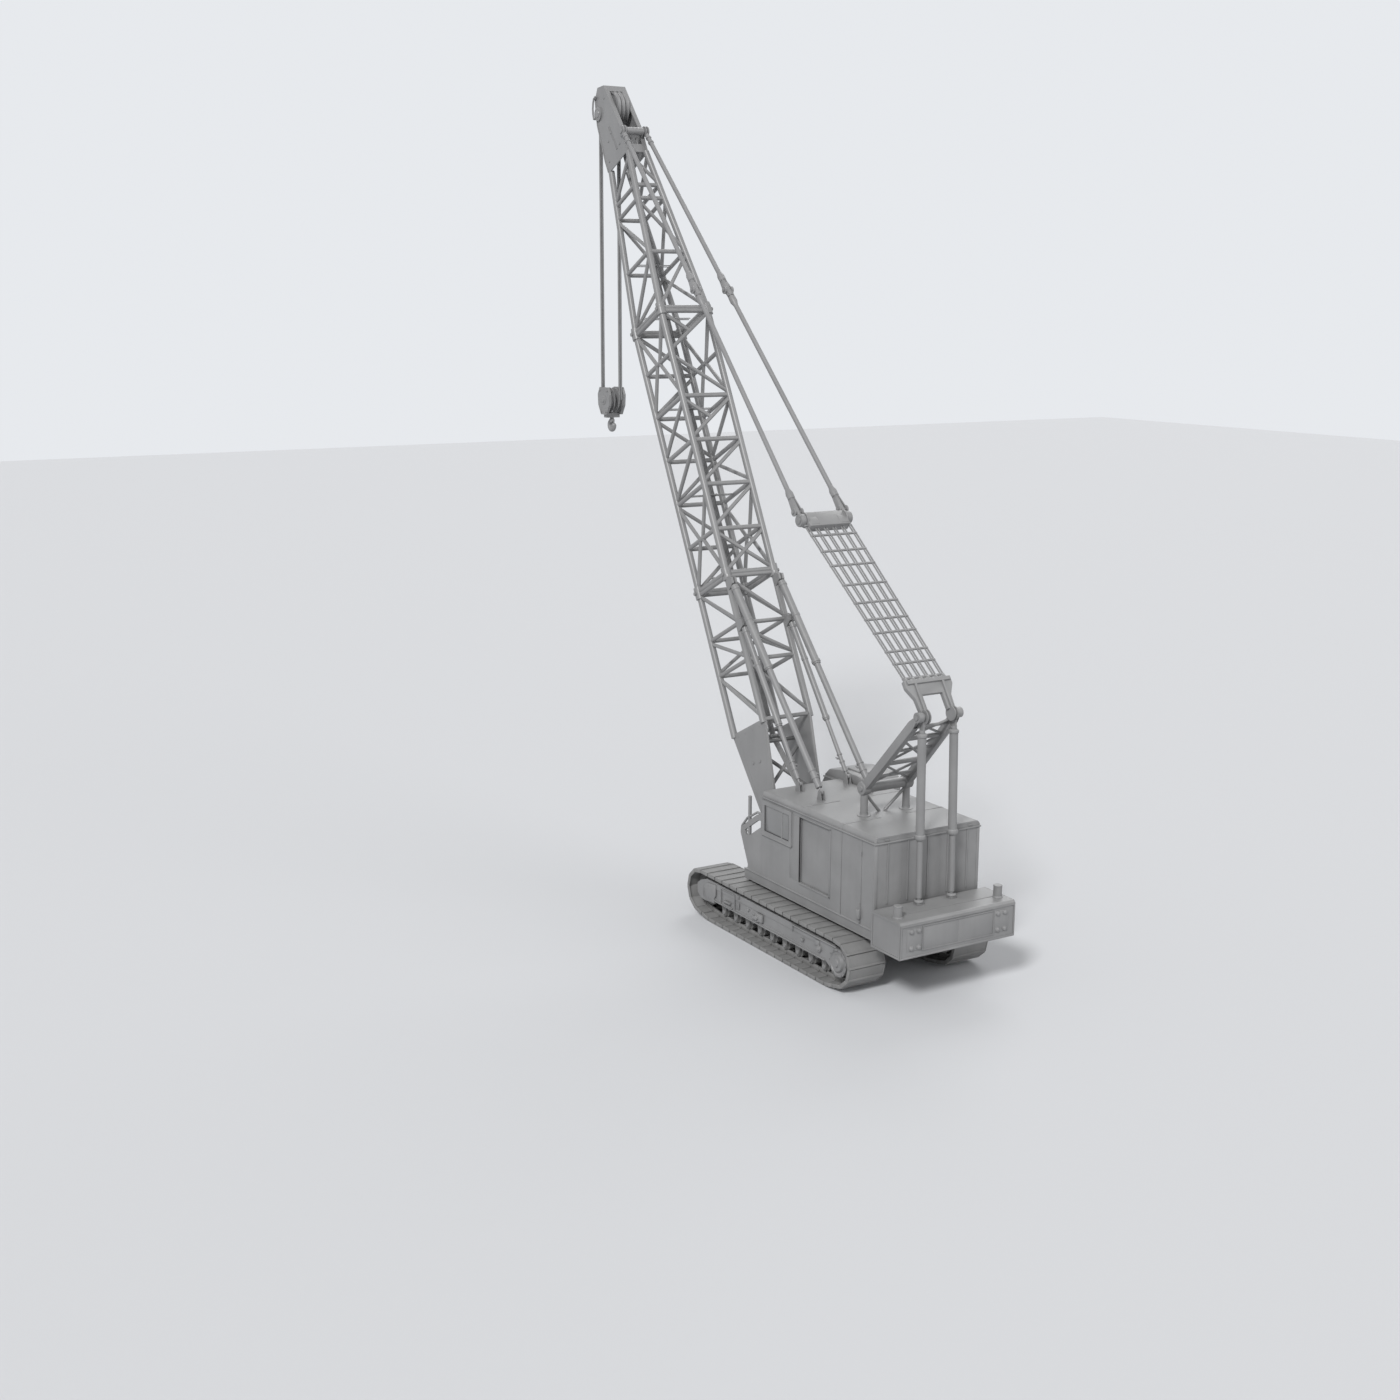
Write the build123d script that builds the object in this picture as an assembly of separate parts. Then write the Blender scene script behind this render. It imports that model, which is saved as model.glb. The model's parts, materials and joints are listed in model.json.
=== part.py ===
# Lattice-boom crawler crane, about 45 t class, boom up over the front.
# Lengths in mm. X is to the operator's right, Y forward, Z up.
# The origin is on the ground under the centre of the swing ring.
import os
from math import cos, hypot, pi, radians, sin

from build123d import *

os.makedirs("parts", exist_ok=True)

# Clearances
running_fit = 0.05
seat_gap = 0.3
moving_gap = 8

# Crawlers
gauge = 2400
shoe_width = 800
shoe_count = 46
shoe_thick = 42
shoe_notch = 22
shoe_notch_depth = 26
link_height = 96
link_width = 260
end_radius = 470
end_height = 540
end_reach = 2400
ground_reach = 2060
frame_half_width = 300
frame_bottom = 430
frame_top = 826
frame_slot = 150
panel_inset = 12
roller_count = 9
roller_pitch = 440
roller_radius = 92
roller_length = 240
roller_foot = 70
skid_length = 360
final_drive_radius = 265
final_drive_out = 95
sprocket_teeth = 13

# Carbody and swing ring
carbody_half_width = 620
carbody_half_length = 760
carbody_bottom = 420
carbody_top = 880
axle_reach = 860
axle_width = 380
axle_bottom = 440
axle_top = 760
ring_radius = 700
ring_bore = 560
ring_split = 985

# Revolving deck
deck_bottom = 1063
deck_top = 1261
deck_half_width = 1177
deck_rear = -2976
deck_front = 1330

# Machinery house
wall = 40
house_front = 707
house_right_front = -330
bay_half_width = 602
bay_wall_front = 620
gutter_height = 2877
roof_rise = 110
roof_roll = 80
window_rear = 30
window_front = 647
window_sill = 2164
window_head = 2784
window_frame = 45
rib_pitch = 450
rib_half = 16
rib_proud = 12
rib_foot = 1730
bay_front = -260
bay_rear = -1560
bay_bottom = 1500
bay_top = 2780
door_lap = 30
pane_thick = 10
pane_inset = 14
engine_half_width = 700
engine_rear = -2716
engine_front = -1750
engine_top = 2300
drum_flange_thick = 25
drum_shaft_radius = 55
drum_stand_thick = 40

# Front guard beside the boom foot
guard_post_y = 1210
guard_post_radius = 35
guard_post_top = 2750

# Cab
cab_left = 690
cab_right = 1580
cab_rear = -60
cab_front = 1500
cab_top = 2930
cab_wall = 45
cab_door_rear = 380
cab_door_front = 1180
cab_door_sill = 1351
cab_door_head = 2810
hinge_out = 12
hinge_back = 2
hinge_radius = 11
hinge_pin_radius = 6
hinge_length = 80

# Counterweight
weight_half_width = 1293
weight_rear = -3910
weight_front = -3060
weight_bottom = 1020
weight_top = 1700
weight_recess = 60
weight_edge = 60
post_radius = 80
post_rise = 220

# Boom
foot_y = 988
foot_z = 1477
boom_angle = 63.0
boom_width = 1130
boom_depth = 1200
chord_radius = 52
chord_overrun = 12
lace_radius = 25
lace_inset = 60
cross_spread = 45
batten_radius = 29
joint_bar_radius = 34
joint_bar_inset = 36
collar_radius = 80
collar_length = 110
foot_plate_end = 2690
foot_plate_lap = 50
foot_plate_thick = 36
brace_high = 2250
brace_low = 1250
butt_length = 5752
mid_length = 5864
head_joint = 15450
tip_width = 430
tip_depth = 870
tip_forward = 115
foot_spacing = 1085
foot_boss_radius = 85
foot_boss_width = 90
foot_pin_radius = 42
lug_thick = 40
lug_rear = 260
lug_front = 300

# Boom head, with distances in front of the boom's axis and along it
head_plate_x = 243
head_plate_thick = 24
head_rim = 100
tip_pin_back = 395
tip_pin_along = 15900
tip_pin_radius = 45
tip_bar_radius = 65
tip_ear_inner = 168
tip_ear_thick = 32
sheave_forward = 404
sheave_along = 16786
sheave_pin_radius = 50
sheave_cap_radius = 150
sheave_cap_thick = 28
sheave_radius = 275
rope_pitch_radius = 227
rope_radius = 16
fall_half_spacing = 100
fall_pair = 21

# Boom hoist rigging
pendant_half = 272
pendant_eye = 68
pendant_eye_half = 44
pendant_radius = 42
spreader_y = 476
spreader_z = 8229
spreader_half = 520
spreader_overhang = 60
spreader_radius = 80
spreader_beam_half = 470
spreader_beam_high = 112
spreader_beam_thick = 130
spreader_cheek_radius = 112
spreader_rope_pitch = 196
bridle_y = -2800
bridle_z = 5650
bridle_half = 470
bridle_depth = 150
bridle_thick = 70
bridle_rope_pitch = 168
bridle_eye_x = 304
bridle_eye_width = 48
bridle_eye_radius = 105
bridle_arm_depth = 160
hoist_fall_radius = 11

# Boom stops
stop_foot_y = -400
stop_foot_z = 3130
stop_standoff = 150
stop_along = butt_length - 200
stop_tube_length = 2100
stop_tube_radius = 78
stop_rod_radius = 62
stop_rod_start = 720
prop_foot_y = 330
prop_along = butt_length - 1087
prop_tube_length = 2300
prop_tube_radius = 60
prop_rod_radius = 42
prop_rod_start = 620
stop_pin_radius = 20
stop_ear_gap = 32
stop_ear_thick = 18
stop_ear_foot = 150
stop_neck = 110
stop_cap = 20
stop_eye_radius = 44

# Gantry
gantry_y = -3156
gantry_z = 5133
gantry_half = 431
head_pin_radius = 45
leg_foot_y = -1665
leg_foot_z = 3510
leg_half = 484
leg_radius = 55
mast_foot_y = -3223
mast_half = 373
mast_head_half = 355.7
mast_collar_z = 2950
mast_plate_drop = 230

# Hook block
hook_drop = 6180
cheek_thick = 55
cheek_half_length = 280
shank_radius = 30


def side_plane(x):
    """Plane at x whose own axes are the machine's Y and Z."""
    return Plane(origin=(x, 0, 0), x_dir=(0, 1, 0), z_dir=(1, 0, 0))


def side_plate(x, thick, points):
    """Plate between x and x + thick with a Y-Z outline."""
    outline = make_face(Polyline(*points, close=True))
    return extrude(side_plane(x) * outline, thick)


def front_plate(y, thick, points):
    """Plate between y and y + thick with an X-Z outline."""
    outline = make_face(Polyline(*points, close=True))
    return extrude(Plane(origin=(0, y + thick, 0), x_dir=(1, 0, 0), z_dir=(0, -1, 0)) * outline, thick)


def block(x0, x1, y0, y1, z0, z1):
    """Box between two corners."""
    centre = ((x0 + x1) / 2, (y0 + y1) / 2, (z0 + z1) / 2)
    return Pos(*centre) * Box(abs(x1 - x0), y1 - y0, z1 - z0)


def rod(start, end, radius, bore=0):
    """Round bar or tube between two points."""
    start = Vector(*start)
    along = Vector(*end) - start
    section = Circle(radius) - Circle(bore) if bore else Circle(radius)
    return extrude(Plane(origin=start, z_dir=along) * section, along.length)


def axle(x0, x1, y, z, radius):
    """Round bar along X."""
    return rod((x0, y, z), (x1, y, z), radius)


def wheel(profile, x, y, z):
    """Solid of revolution about an X axis through a point, from (x, radius) pairs."""
    ring = revolve(make_face(Polyline(*profile, close=True)), Axis.X)
    return Pos(x, y, z) * ring


def both(solid):
    """The solid and its mirror image across the machine's centre plane."""
    return [solid, mirror(solid, about=Plane.YZ)]


def save(name, shapes):
    """Write one node."""
    shapes = shapes if isinstance(shapes, list) else [shapes]
    solids = []
    for shape in shapes:
        solids += shape.solids()
    part = solids[0] if len(solids) == 1 else Compound(children=solids)
    export_step(part, f"parts/{name}.step")


# Crawler belts: one closed loop each, shoes in the outline


def belt_face(depth):
    """Face of the loop's side view, set in by depth from the shoes' outer surface."""
    ends = []
    for y in (-end_reach, end_reach):
        ends += (Pos(y, end_height) * Circle(end_radius - depth)).edges()
    ends += [Line((-ground_reach, depth), (ground_reach, depth))]
    return make_hull(ends).face()


def belt(side):
    """One track on side -1 or 1."""
    loop = belt_face(0).outer_wire()
    points = [loop.position_at(i / shoe_count) for i in range(shoe_count)]
    middle = Vector(0, end_height, 0)
    outline = []
    for i, here in enumerate(points):
        along = (points[(i + 1) % shoe_count] - here).normalized()
        inward = Vector(-along.Y, along.X, 0)
        if inward.dot(middle - Vector(here.X * 0.8, here.Y, 0)) < 0:
            inward = inward * -1
        root = here + inward * shoe_notch_depth
        first = here + along * (shoe_notch / 2)
        last = points[(i + 1) % shoe_count] - along * (shoe_notch / 2)
        outline += [(root.X, root.Y), (first.X, first.Y), (last.X, last.Y)]
    shoes = make_face(Polyline(*outline, close=True)) - belt_face(shoe_thick)
    links = belt_face(shoe_thick - 4) - belt_face(shoe_thick + link_height)
    x = side * gauge / 2
    solid = extrude(side_plane(x - shoe_width / 2) * shoes, shoe_width)
    solid += extrude(side_plane(x - link_width / 2) * links, link_width)
    return solid


inner_radius = end_radius - shoe_thick - link_height
belt_top = end_height + inner_radius
roller_z = shoe_thick + link_height + roller_radius + seat_gap


def side_frame():
    """Right side frame: box beam with idler and drive cheeks and top skids."""
    x = gauge / 2
    outline = [
        (-end_reach - 120, 330),
        (-end_reach + 270, 350),
        (-end_reach + 420, frame_bottom),
        (end_reach - 320, frame_bottom),
        (end_reach - 170, 350),
        (end_reach + 80, 350),
        (end_reach + 220, 450),
        (end_reach + 220, 640),
        (end_reach + 80, 740),
        (end_reach - 170, frame_top),
        (-end_reach + 200, frame_top),
        (-end_reach - 120, 760),
        (-end_reach - 260, 650),
        (-end_reach - 260, 440),
    ]
    solid = side_plate(x - frame_half_width, 2 * frame_half_width, outline)
    slot_end = end_reach - inner_radius - 60
    for y0, y1 in ((-end_reach - 400, -slot_end), (slot_end, end_reach + 400)):
        solid -= block(x - frame_slot, x + frame_slot, y0, y1, 0, 1000)
    for y in (-900, 900):
        solid += block(x - 90, x + 90, y - skid_length / 2, y + skid_length / 2, frame_top, belt_top - seat_gap)
    panel_rear = -end_reach + 700
    panel_front = end_reach - 450
    panel = [(panel_rear, 500), (panel_front, 500), (panel_front, 690), (panel_rear, 690)]
    solid -= side_plate(x + frame_half_width - panel_inset, panel_inset, panel)
    return solid


def final_drive():
    """Right gear case, proud of the side frame, with its rings."""
    out = final_drive_out
    r = final_drive_radius
    steps = [(0, r), (0.45, r), (0.45, 0.84 * r), (0.25, 0.78 * r), (0.25, 0.66 * r), (0.75, 0.58 * r)]
    steps += [(0.75, 0.3 * r), (1, 0.26 * r), (1, 0), (0, 0)]
    profile = [(out * a, b) for a, b in steps]
    return wheel(profile, gauge / 2 + frame_half_width + seat_gap, -end_reach, end_height)


def sprocket():
    """Right drive sprocket between the frame's cheeks."""
    tip = inner_radius - seat_gap
    root = tip * 0.86
    outline = []
    for i in range(sprocket_teeth):
        for share, reach in ((0.0, root), (0.3, root), (0.42, tip), (0.58, tip), (0.7, root)):
            turn = 2 * pi * (i + share) / sprocket_teeth
            outline += [(reach * cos(turn), reach * sin(turn))]
    gear = extrude(make_face(Polyline(*outline, close=True)), 90, both=True)
    gear += extrude(Circle(150), frame_slot - seat_gap, both=True)
    return Pos(gauge / 2, -end_reach, end_height) * Rot(0, 90, 0) * gear


def idler():
    """Right front idler between the frame's cheeks."""
    rim = inner_radius - seat_gap
    steps = [(-100, 0), (-100, rim - 60), (-120, rim - 60), (-120, rim), (120, rim), (120, rim - 60)]
    steps += [(100, rim - 60), (100, 0)]
    solid = wheel(steps, gauge / 2, end_reach, end_height)
    shaft = frame_slot - seat_gap
    return solid + axle(gauge / 2 - shaft, gauge / 2 + shaft, end_reach, end_height, 90)


def bottom_roller(y):
    """Right bottom roller with its two pillow blocks."""
    half = roller_length / 2
    x = gauge / 2
    solid = axle(x - half, x + half, y, roller_z, roller_radius)
    foot = [(y - 45, roller_z - 60), (y + 45, roller_z - 60), (y + 100, frame_bottom), (y - 100, frame_bottom)]
    for inner in (x - half - roller_foot + 4, x + half - 4):
        solid += side_plate(inner, roller_foot, foot)
    return solid


save("track_left", belt(-1))
save("track_right", belt(1))
save("side_frames", both(side_frame()))
save("final_drives", both(final_drive()))
save("sprockets", both(sprocket()))
save("idlers", both(idler()))
rollers = []
for i in range(roller_count):
    rollers += both(bottom_roller((i - (roller_count - 1) / 2) * roller_pitch))
save("bottom_rollers", rollers)

# Carbody

ends = (-carbody_half_length, carbody_half_length)
carbody = block(-carbody_half_width, carbody_half_width, *ends, carbody_bottom, carbody_top)
carbody = chamfer(carbody.edges().filter_by(Axis.Z), 220)
frame_inner = gauge / 2 - frame_half_width
for y in (-axle_reach, axle_reach):
    carbody += block(-frame_inner, frame_inner, y - axle_width / 2, y + axle_width / 2, axle_bottom, axle_top)
carbody += extrude(Pos(0, 0, carbody_top) * (Circle(ring_radius) - Circle(ring_bore)), ring_split - carbody_top)
save("carbody", carbody)

# Revolving deck with the boom foot lugs

cab_step = 90
plan = [
    (-deck_half_width, deck_rear),
    (deck_half_width, deck_rear),
    (deck_half_width, cab_rear),
    (cab_right - cab_step, cab_rear),
    (cab_right - cab_step, cab_front - cab_step),
    (cab_left, cab_front - cab_step),
    (cab_left, deck_front),
    (-deck_half_width, deck_front),
]
deck = extrude(Pos(0, 0, deck_bottom) * make_face(Polyline(*plan, close=True)), deck_top - deck_bottom)
ring_low = ring_split + seat_gap
deck += extrude(Pos(0, 0, ring_low) * (Circle(ring_radius + 40) - Circle(ring_bore)), deck_bottom - ring_low)
lug_outline = [
    (foot_y - lug_rear, deck_top),
    (foot_y + lug_front, deck_top),
    (foot_y + 100, foot_z + 60),
    (foot_y, foot_z + 105),
    (foot_y - 100, foot_z + 60),
]
lug_inner = foot_boss_width / 2 + moving_gap
pin_reach = lug_inner + lug_thick + 12
for sign in (-1, 1):
    x = sign * foot_spacing / 2
    for lug_x in (x - lug_inner - lug_thick, x + lug_inner):
        deck += side_plate(lug_x, lug_thick, lug_outline)
    deck += axle(x - pin_reach, x + pin_reach, foot_y, foot_z, foot_pin_radius)

# Hoist drums on stands that are welded to the deck


def drum(barrel, half_length, y, z):
    """Winch drum with two flanges and a shaft that reaches into both stands."""
    flange = barrel * 1.5
    inner = half_length - drum_flange_thick
    shaft_end = half_length + moving_gap + drum_stand_thick - 10
    profile = [(0, 0), (0, barrel), (inner, barrel), (inner, flange), (half_length, flange)]
    profile += [(half_length, drum_shaft_radius), (shaft_end, drum_shaft_radius), (shaft_end, 0)]
    half = wheel(profile, 0, y, z)
    return half + mirror(half, about=Plane.YZ)


drum_table = [
    # name, barrel radius, half length, y, z
    ("front_drum", 200, 330, 150, 1700),
    ("rear_drum", 200, 330, -620, 1700),
    ("boom_drum", 150, 260, -1330, 1620),
]
for name, barrel, half_length, y, z in drum_table:
    save(name, drum(barrel, half_length, y, z))
    outline = [(y - 240, deck_top), (y + 240, deck_top), (y + 110, z + 120), (y - 110, z + 120)]
    stand = side_plate(half_length + moving_gap, drum_stand_thick, outline)
    stand -= axle(0, boom_width, y, z, drum_shaft_radius + running_fit)
    deck = deck.fuse(*both(stand))
save("deck", deck)

# Machinery house

inside = deck_half_width - wall
roof_top = gutter_height + roof_rise
roof_under = roof_top - wall
under_shoulder = [(inside, gutter_height + 20), (deck_half_width - roof_roll - 10, roof_under)]


def mirrored(points):
    """The points, then their mirror images in reverse order."""
    return points + [(-x, z) for x, z in reversed(points)]


def wall_panel(x, y0, y1, openings):
    """Upright side panel with rectangular openings (y0, y1, z0, z1)."""
    panel = block(x, x + wall, y0, y1, deck_top, gutter_height)
    for y_low, y_high, z_low, z_high in openings:
        panel -= block(x - 10, x + wall + 10, y_low, y_high, z_low, z_high)
    return panel


def cross_wall(y, x0, x1):
    """Wall across the house between two x, up to the underside of the roof."""
    profile = mirrored([(inside, deck_top)] + under_shoulder)
    return front_plate(y, wall, profile) & block(x0, x1, y, y + wall, deck_top, roof_top)


window = (window_rear, window_front, window_sill, window_head)
bay = (bay_rear, bay_front, bay_bottom, bay_top)
left_wall = wall_panel(-deck_half_width, deck_rear, house_front, [window, bay])
frame_span = (window_rear - window_frame, window_front + window_frame)
frame_rise = (window_sill - window_frame, window_head + window_frame)
window_rim = block(-deck_half_width - rib_proud, -deck_half_width, *frame_span, *frame_rise)
window_rim -= block(-deck_half_width - 50, -deck_half_width + 50, *window)
save("house_left", left_wall + window_rim)
save("house_right", wall_panel(inside, deck_rear, house_right_front, []))
pane_x = -deck_half_width + pane_inset
house_pane = block(
    pane_x,
    pane_x + pane_thick,
    window_rear + seat_gap,
    window_front - seat_gap,
    window_sill + seat_gap,
    window_head - seat_gap,
)
rear_wall = cross_wall(deck_rear, -inside, inside)
for k in range(-2, 3):
    x = k * rib_pitch
    rear_wall += block(x - rib_half, x + rib_half, deck_rear - rib_proud, deck_rear, rib_foot, gutter_height - 20)
save("house_rear", rear_wall)
left_front = cross_wall(house_front - wall, -inside, -bay_half_width)
left_front += block(-bay_half_width - wall, -bay_half_width, house_right_front, house_front, deck_top, roof_under)
save("house_front", left_front)
right_front = cross_wall(house_right_front - wall, bay_half_width, inside)
right_front += block(bay_half_width, bay_half_width + wall, house_right_front, bay_wall_front, deck_top, roof_under)
save("house_bulkhead", right_front)
door_x = -inside + moving_gap
door_top = bay_top + door_lap
save("side_door", block(door_x, door_x + wall, bay_rear - door_lap, bay_front + door_lap, deck_top + seat_gap, door_top))

roof_room = mirrored([(inside, gutter_height - 1)] + under_shoulder)
roof_length = house_front - deck_rear
roof = block(-deck_half_width, deck_half_width, deck_rear, house_front, gutter_height, roof_top)
roof = fillet(roof.edges().filter_by(Axis.Y).sort_by(Axis.Z)[-2:], roof_roll)
roof -= front_plate(deck_rear, roof_length, roof_room)
roof -= block(bay_half_width + wall, 2000, house_right_front, house_front, 2000, 4000)
for sign in (-1, 1):
    roof -= rod((sign * leg_half, leg_foot_y, 2000), (sign * leg_half, leg_foot_y, 4000), leg_radius + 4)
    for foot_at in (stop_foot_y, prop_foot_y):
        ear = [(foot_at - 80, roof_top), (foot_at + 80, roof_top), (foot_at + 30, stop_foot_z + 40)]
        ear += [(foot_at - 30, stop_foot_z + 40)]
        x = sign * boom_width / 2
        roof += side_plate(x - stop_ear_gap - stop_ear_thick, stop_ear_thick, ear)
        roof += side_plate(x + stop_ear_gap, stop_ear_thick, ear)
save("house_roof", roof)
save("engine", block(-engine_half_width, engine_half_width, engine_rear, engine_front, deck_top, engine_top))

# Guard and post at the left front corner

guard_x = -deck_half_width
guard_outline = [
    (house_front, 2520),
    (900, 2460),
    (1430, 2110),
    (1480, 2020),
    (1200, 1340),
    (1180, deck_top),
    (house_front, deck_top),
]
guard = side_plate(guard_x, wall, guard_outline)
guard -= side_plate(guard_x, wall, [(760, 2370), (870, 2350), (1340, 2040), (1290, 1960), (1190, 1960), (760, 2240)])
guard += rod(
    (guard_x + guard_post_radius, guard_post_y, deck_top),
    (guard_x + guard_post_radius, guard_post_y, guard_post_top),
    guard_post_radius,
)
save("front_guard", guard)

# Cab


def cab_box(inset):
    """Cab body set in by inset, as a solid."""
    outline = [
        (cab_rear + inset, deck_top + inset),
        (cab_front - 80 - inset, deck_top + inset),
        (cab_front - inset, 1900),
        (cab_front - inset - 30, 2600),
        (cab_front - inset - 230, cab_top - inset),
        (cab_rear + inset, cab_top - inset),
    ]
    return side_plate(cab_left + inset, cab_right - cab_left - 2 * inset, outline)


cab_windows = [
    # x low, x high, y low, y high, z low, z high
    (cab_left - 10, cab_left + 60, cab_rear + 130, 300, 1950, 2780),
    (cab_left - 10, cab_left + 60, 380, 1240, 1750, 2780),
    (cab_left + 90, cab_right - 90, cab_front - 250, cab_front + 50, 1500, 2600),
    (cab_right - 60, cab_right + 10, cab_rear + 130, 300, 1950, 2780),
    (cab_left + 160, cab_right - 160, cab_rear - 10, cab_rear + 60, 1950, 2700),
]
door_window = (cab_door_rear + 110, cab_door_front - 110, 1800, cab_door_head - 110)
door_opening = block(cab_right - 60, cab_right + 10, cab_door_rear, cab_door_front, cab_door_sill, cab_door_head)
hinge_x = cab_right + hinge_out
hinge_y = cab_door_rear - hinge_back
hinge_heights = (1550, 2600)
cab = cab_box(0) - cab_box(cab_wall) - door_opening
glazing = cab_box(pane_inset) - cab_box(pane_inset + pane_thick)
panes = [house_pane]
for x0, x1, y0, y1, z0, z1 in cab_windows:
    cab -= block(x0, x1, y0, y1, z0, z1)
    panes += [glazing & block(x0, x1, y0 + seat_gap, y1 - seat_gap, z0 + seat_gap, z1 - seat_gap)]
for z in hinge_heights:
    for low in (z - hinge_length / 2 - 15.5, z + hinge_length / 2 + 0.5):
        cab += block(cab_right, hinge_x + 8, hinge_y - 12, hinge_y + 12, low, low + 15)
    cab += rod((hinge_x, hinge_y, z - hinge_length / 2 - 6), (hinge_x, hinge_y, z + hinge_length / 2 + 6), hinge_pin_radius)
save("cab", cab)
save("window_glass", panes)

door_edges = (cab_door_rear + moving_gap, cab_door_front - moving_gap)
door_ends = (cab_door_sill + moving_gap, cab_door_head - moving_gap)
cab_door = block(cab_right - cab_wall + 5, cab_right - 5, *door_edges, *door_ends)
cab_door -= block(cab_right - 60, cab_right + 10, *door_window)
for z in hinge_heights:
    ends = (z - hinge_length / 2, z + hinge_length / 2)
    cab_door += block(cab_right - 5, hinge_x + 5, door_edges[0], door_edges[0] + 45, *ends)
    cab_door += block(hinge_x - 4, hinge_x + 5, hinge_y, door_edges[0] + 1, *ends)
    cab_door += rod((hinge_x, hinge_y, ends[0]), (hinge_x, hinge_y, ends[1]), hinge_radius)
    cab_door -= rod((hinge_x, hinge_y, ends[0] - 1), (hinge_x, hinge_y, ends[1] + 1), hinge_pin_radius + running_fit)
save("cab_door", cab_door)
low_y, high_y, low_z, high_z = door_window
door_glass = block(
    cab_right - 30,
    cab_right - 30 + pane_thick,
    low_y + seat_gap,
    high_y - seat_gap,
    low_z + seat_gap,
    high_z - seat_gap,
)
save("door_glass", door_glass)
seat_floor = deck_top + cab_wall
seat = block(980, 1380, 350, 800, seat_floor, 1750) + block(980, 1380, 300, 400, seat_floor, 2350)
save("seat", seat)

# Counterweight

weight = block(-weight_half_width, weight_half_width, weight_rear, weight_front, weight_bottom, weight_top)
rear_top = weight.edges().filter_by(Axis.X).sort_by(Axis.Z)[-2:].sort_by(Axis.Y)[0]
weight = fillet(rear_top, weight_edge)
for x0, x1 in ((-weight_half_width + 150, -60), (60, weight_half_width - 150)):
    weight -= block(x0, x1, weight_rear, weight_rear + weight_recess, 1150, 1560)
weight += block(-1000, 1000, weight_front, deck_rear, weight_bottom + 60, 1500)
for sign in (-1, 1):
    x = sign * 1130
    weight += rod((x, weight_rear + 300, weight_top), (x, weight_rear + 300, weight_top + post_rise), post_radius)
save("counterweight", weight)

# Gantry


def gantry_legs():
    """Two front legs with their posts, cross tubes and head eyes."""
    parts = [axle(-leg_half - 60, leg_half + 60, leg_foot_y, leg_foot_z, 62)]
    for sign in (-1, 1):
        foot = (sign * leg_half, leg_foot_y, leg_foot_z)
        parts += [rod(foot, (sign * gantry_half, gantry_y, gantry_z), leg_radius)]
        parts += [rod((sign * leg_half, leg_foot_y, deck_top), foot, leg_radius)]
        parts += [axle(sign * (gantry_half - leg_radius), sign * (gantry_half + leg_radius), gantry_y, gantry_z, 95)]
    for share in (0.35, 0.7):
        y = leg_foot_y + (gantry_y - leg_foot_y) * share
        z = leg_foot_z + (gantry_z - leg_foot_z) * share
        parts += [axle(-leg_half, leg_half, y, z, 45)]
    legs = parts[0].fuse(*parts[1:])
    return legs - axle(-1000, 1000, gantry_y, gantry_z, head_pin_radius)


def gantry_mast():
    """Right telescopic rear mast with its base and head plate."""
    base = weight_top + seat_gap
    top = gantry_z - mast_plate_drop
    share = (mast_collar_z - base) / (top - base)
    foot = (mast_half, mast_foot_y, base + 30)
    head = (mast_head_half, gantry_y, top)
    collar = tuple(a + (b - a) * share for a, b in zip(foot, head))
    half = gantry_half - leg_radius - mast_head_half - seat_gap
    solid = block(mast_half - 70, mast_half + 70, mast_foot_y - 70, mast_foot_y + 70, base, base + 50)
    solid += rod(foot, collar, 42)
    solid += rod(collar, head, 52)
    solid += side_plate(
        mast_head_half - half,
        2 * half,
        [(gantry_y - 45, top - 120), (gantry_y + 45, top - 120), (gantry_y + 60, gantry_z), (gantry_y - 60, gantry_z)],
    )
    solid += axle(mast_head_half - half, mast_head_half + half, gantry_y, gantry_z, 75)
    return solid - axle(0, 1000, gantry_y, gantry_z, head_pin_radius)


save("gantry_legs", gantry_legs())
save("gantry_masts", both(gantry_mast()))
mast_inner = 2 * mast_head_half - gantry_half + leg_radius + seat_gap
pin_outer = gantry_half + leg_radius + 20
save("gantry_pins", both(axle(mast_inner, pin_outer, gantry_y, gantry_z, head_pin_radius - running_fit)))

# Boom: a lattice of round chords, laid out along the boom and then leaned back

angle = radians(boom_angle)
mid_end = butt_length + mid_length


def at_boom(x, n, s):
    """Machine point for x, distance n in front of the boom's axis, and s along it."""
    return (x, foot_y + s * cos(angle) + n * sin(angle), foot_z + s * sin(angle) - n * cos(angle))


def boom_plate(x, thick, points):
    """Plate between x and x + thick from (n, s) points."""
    return side_plate(x, thick, [at_boom(0, n, s)[1:] for n, s in points])


def boom_bar(x0, x1, n, s, radius):
    """Round bar across the boom."""
    return rod(at_boom(x0, n, s), at_boom(x1, n, s), radius)


def chord_box(s):
    """Half width, rear and front chord distances at s."""
    share = max(0.0, (s - mid_end) / (head_joint - mid_end))
    half_width = (boom_width + (tip_width - boom_width) * share) / 2
    half_depth = (boom_depth + (tip_depth - boom_depth) * share) / 2
    return half_width, tip_forward * share - half_depth, tip_forward * share + half_depth


def corner(i, s):
    """Corner i of the chord box at s, going round the section from the rear left."""
    half_width, rear, front = chord_box(s)
    i = i % 4
    return at_boom(half_width if i in (1, 2) else -half_width, front if i > 1 else rear, s)


def between(start, end, share):
    """Point at a share of the way from start to end."""
    return tuple(a + (b - a) * share for a, b in zip(start, end))


def chord_line(i, low, high, radius):
    """Bar along corner i as (start, end, radius), run a little past both stations."""
    start = Vector(*corner(i, low))
    end = Vector(*corner(i, high))
    past = (end - start).normalized() * chord_overrun
    return tuple(start - past), tuple(end + past), radius


def slab(low, high):
    """Everything between two stations along the boom."""
    square = Plane(origin=at_boom(0, 0, low), x_dir=(1, 0, 0), z_dir=(0, cos(angle), sin(angle)))
    return extrude(square * Rectangle(3 * boom_width, 3 * boom_depth), high - low)


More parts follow.
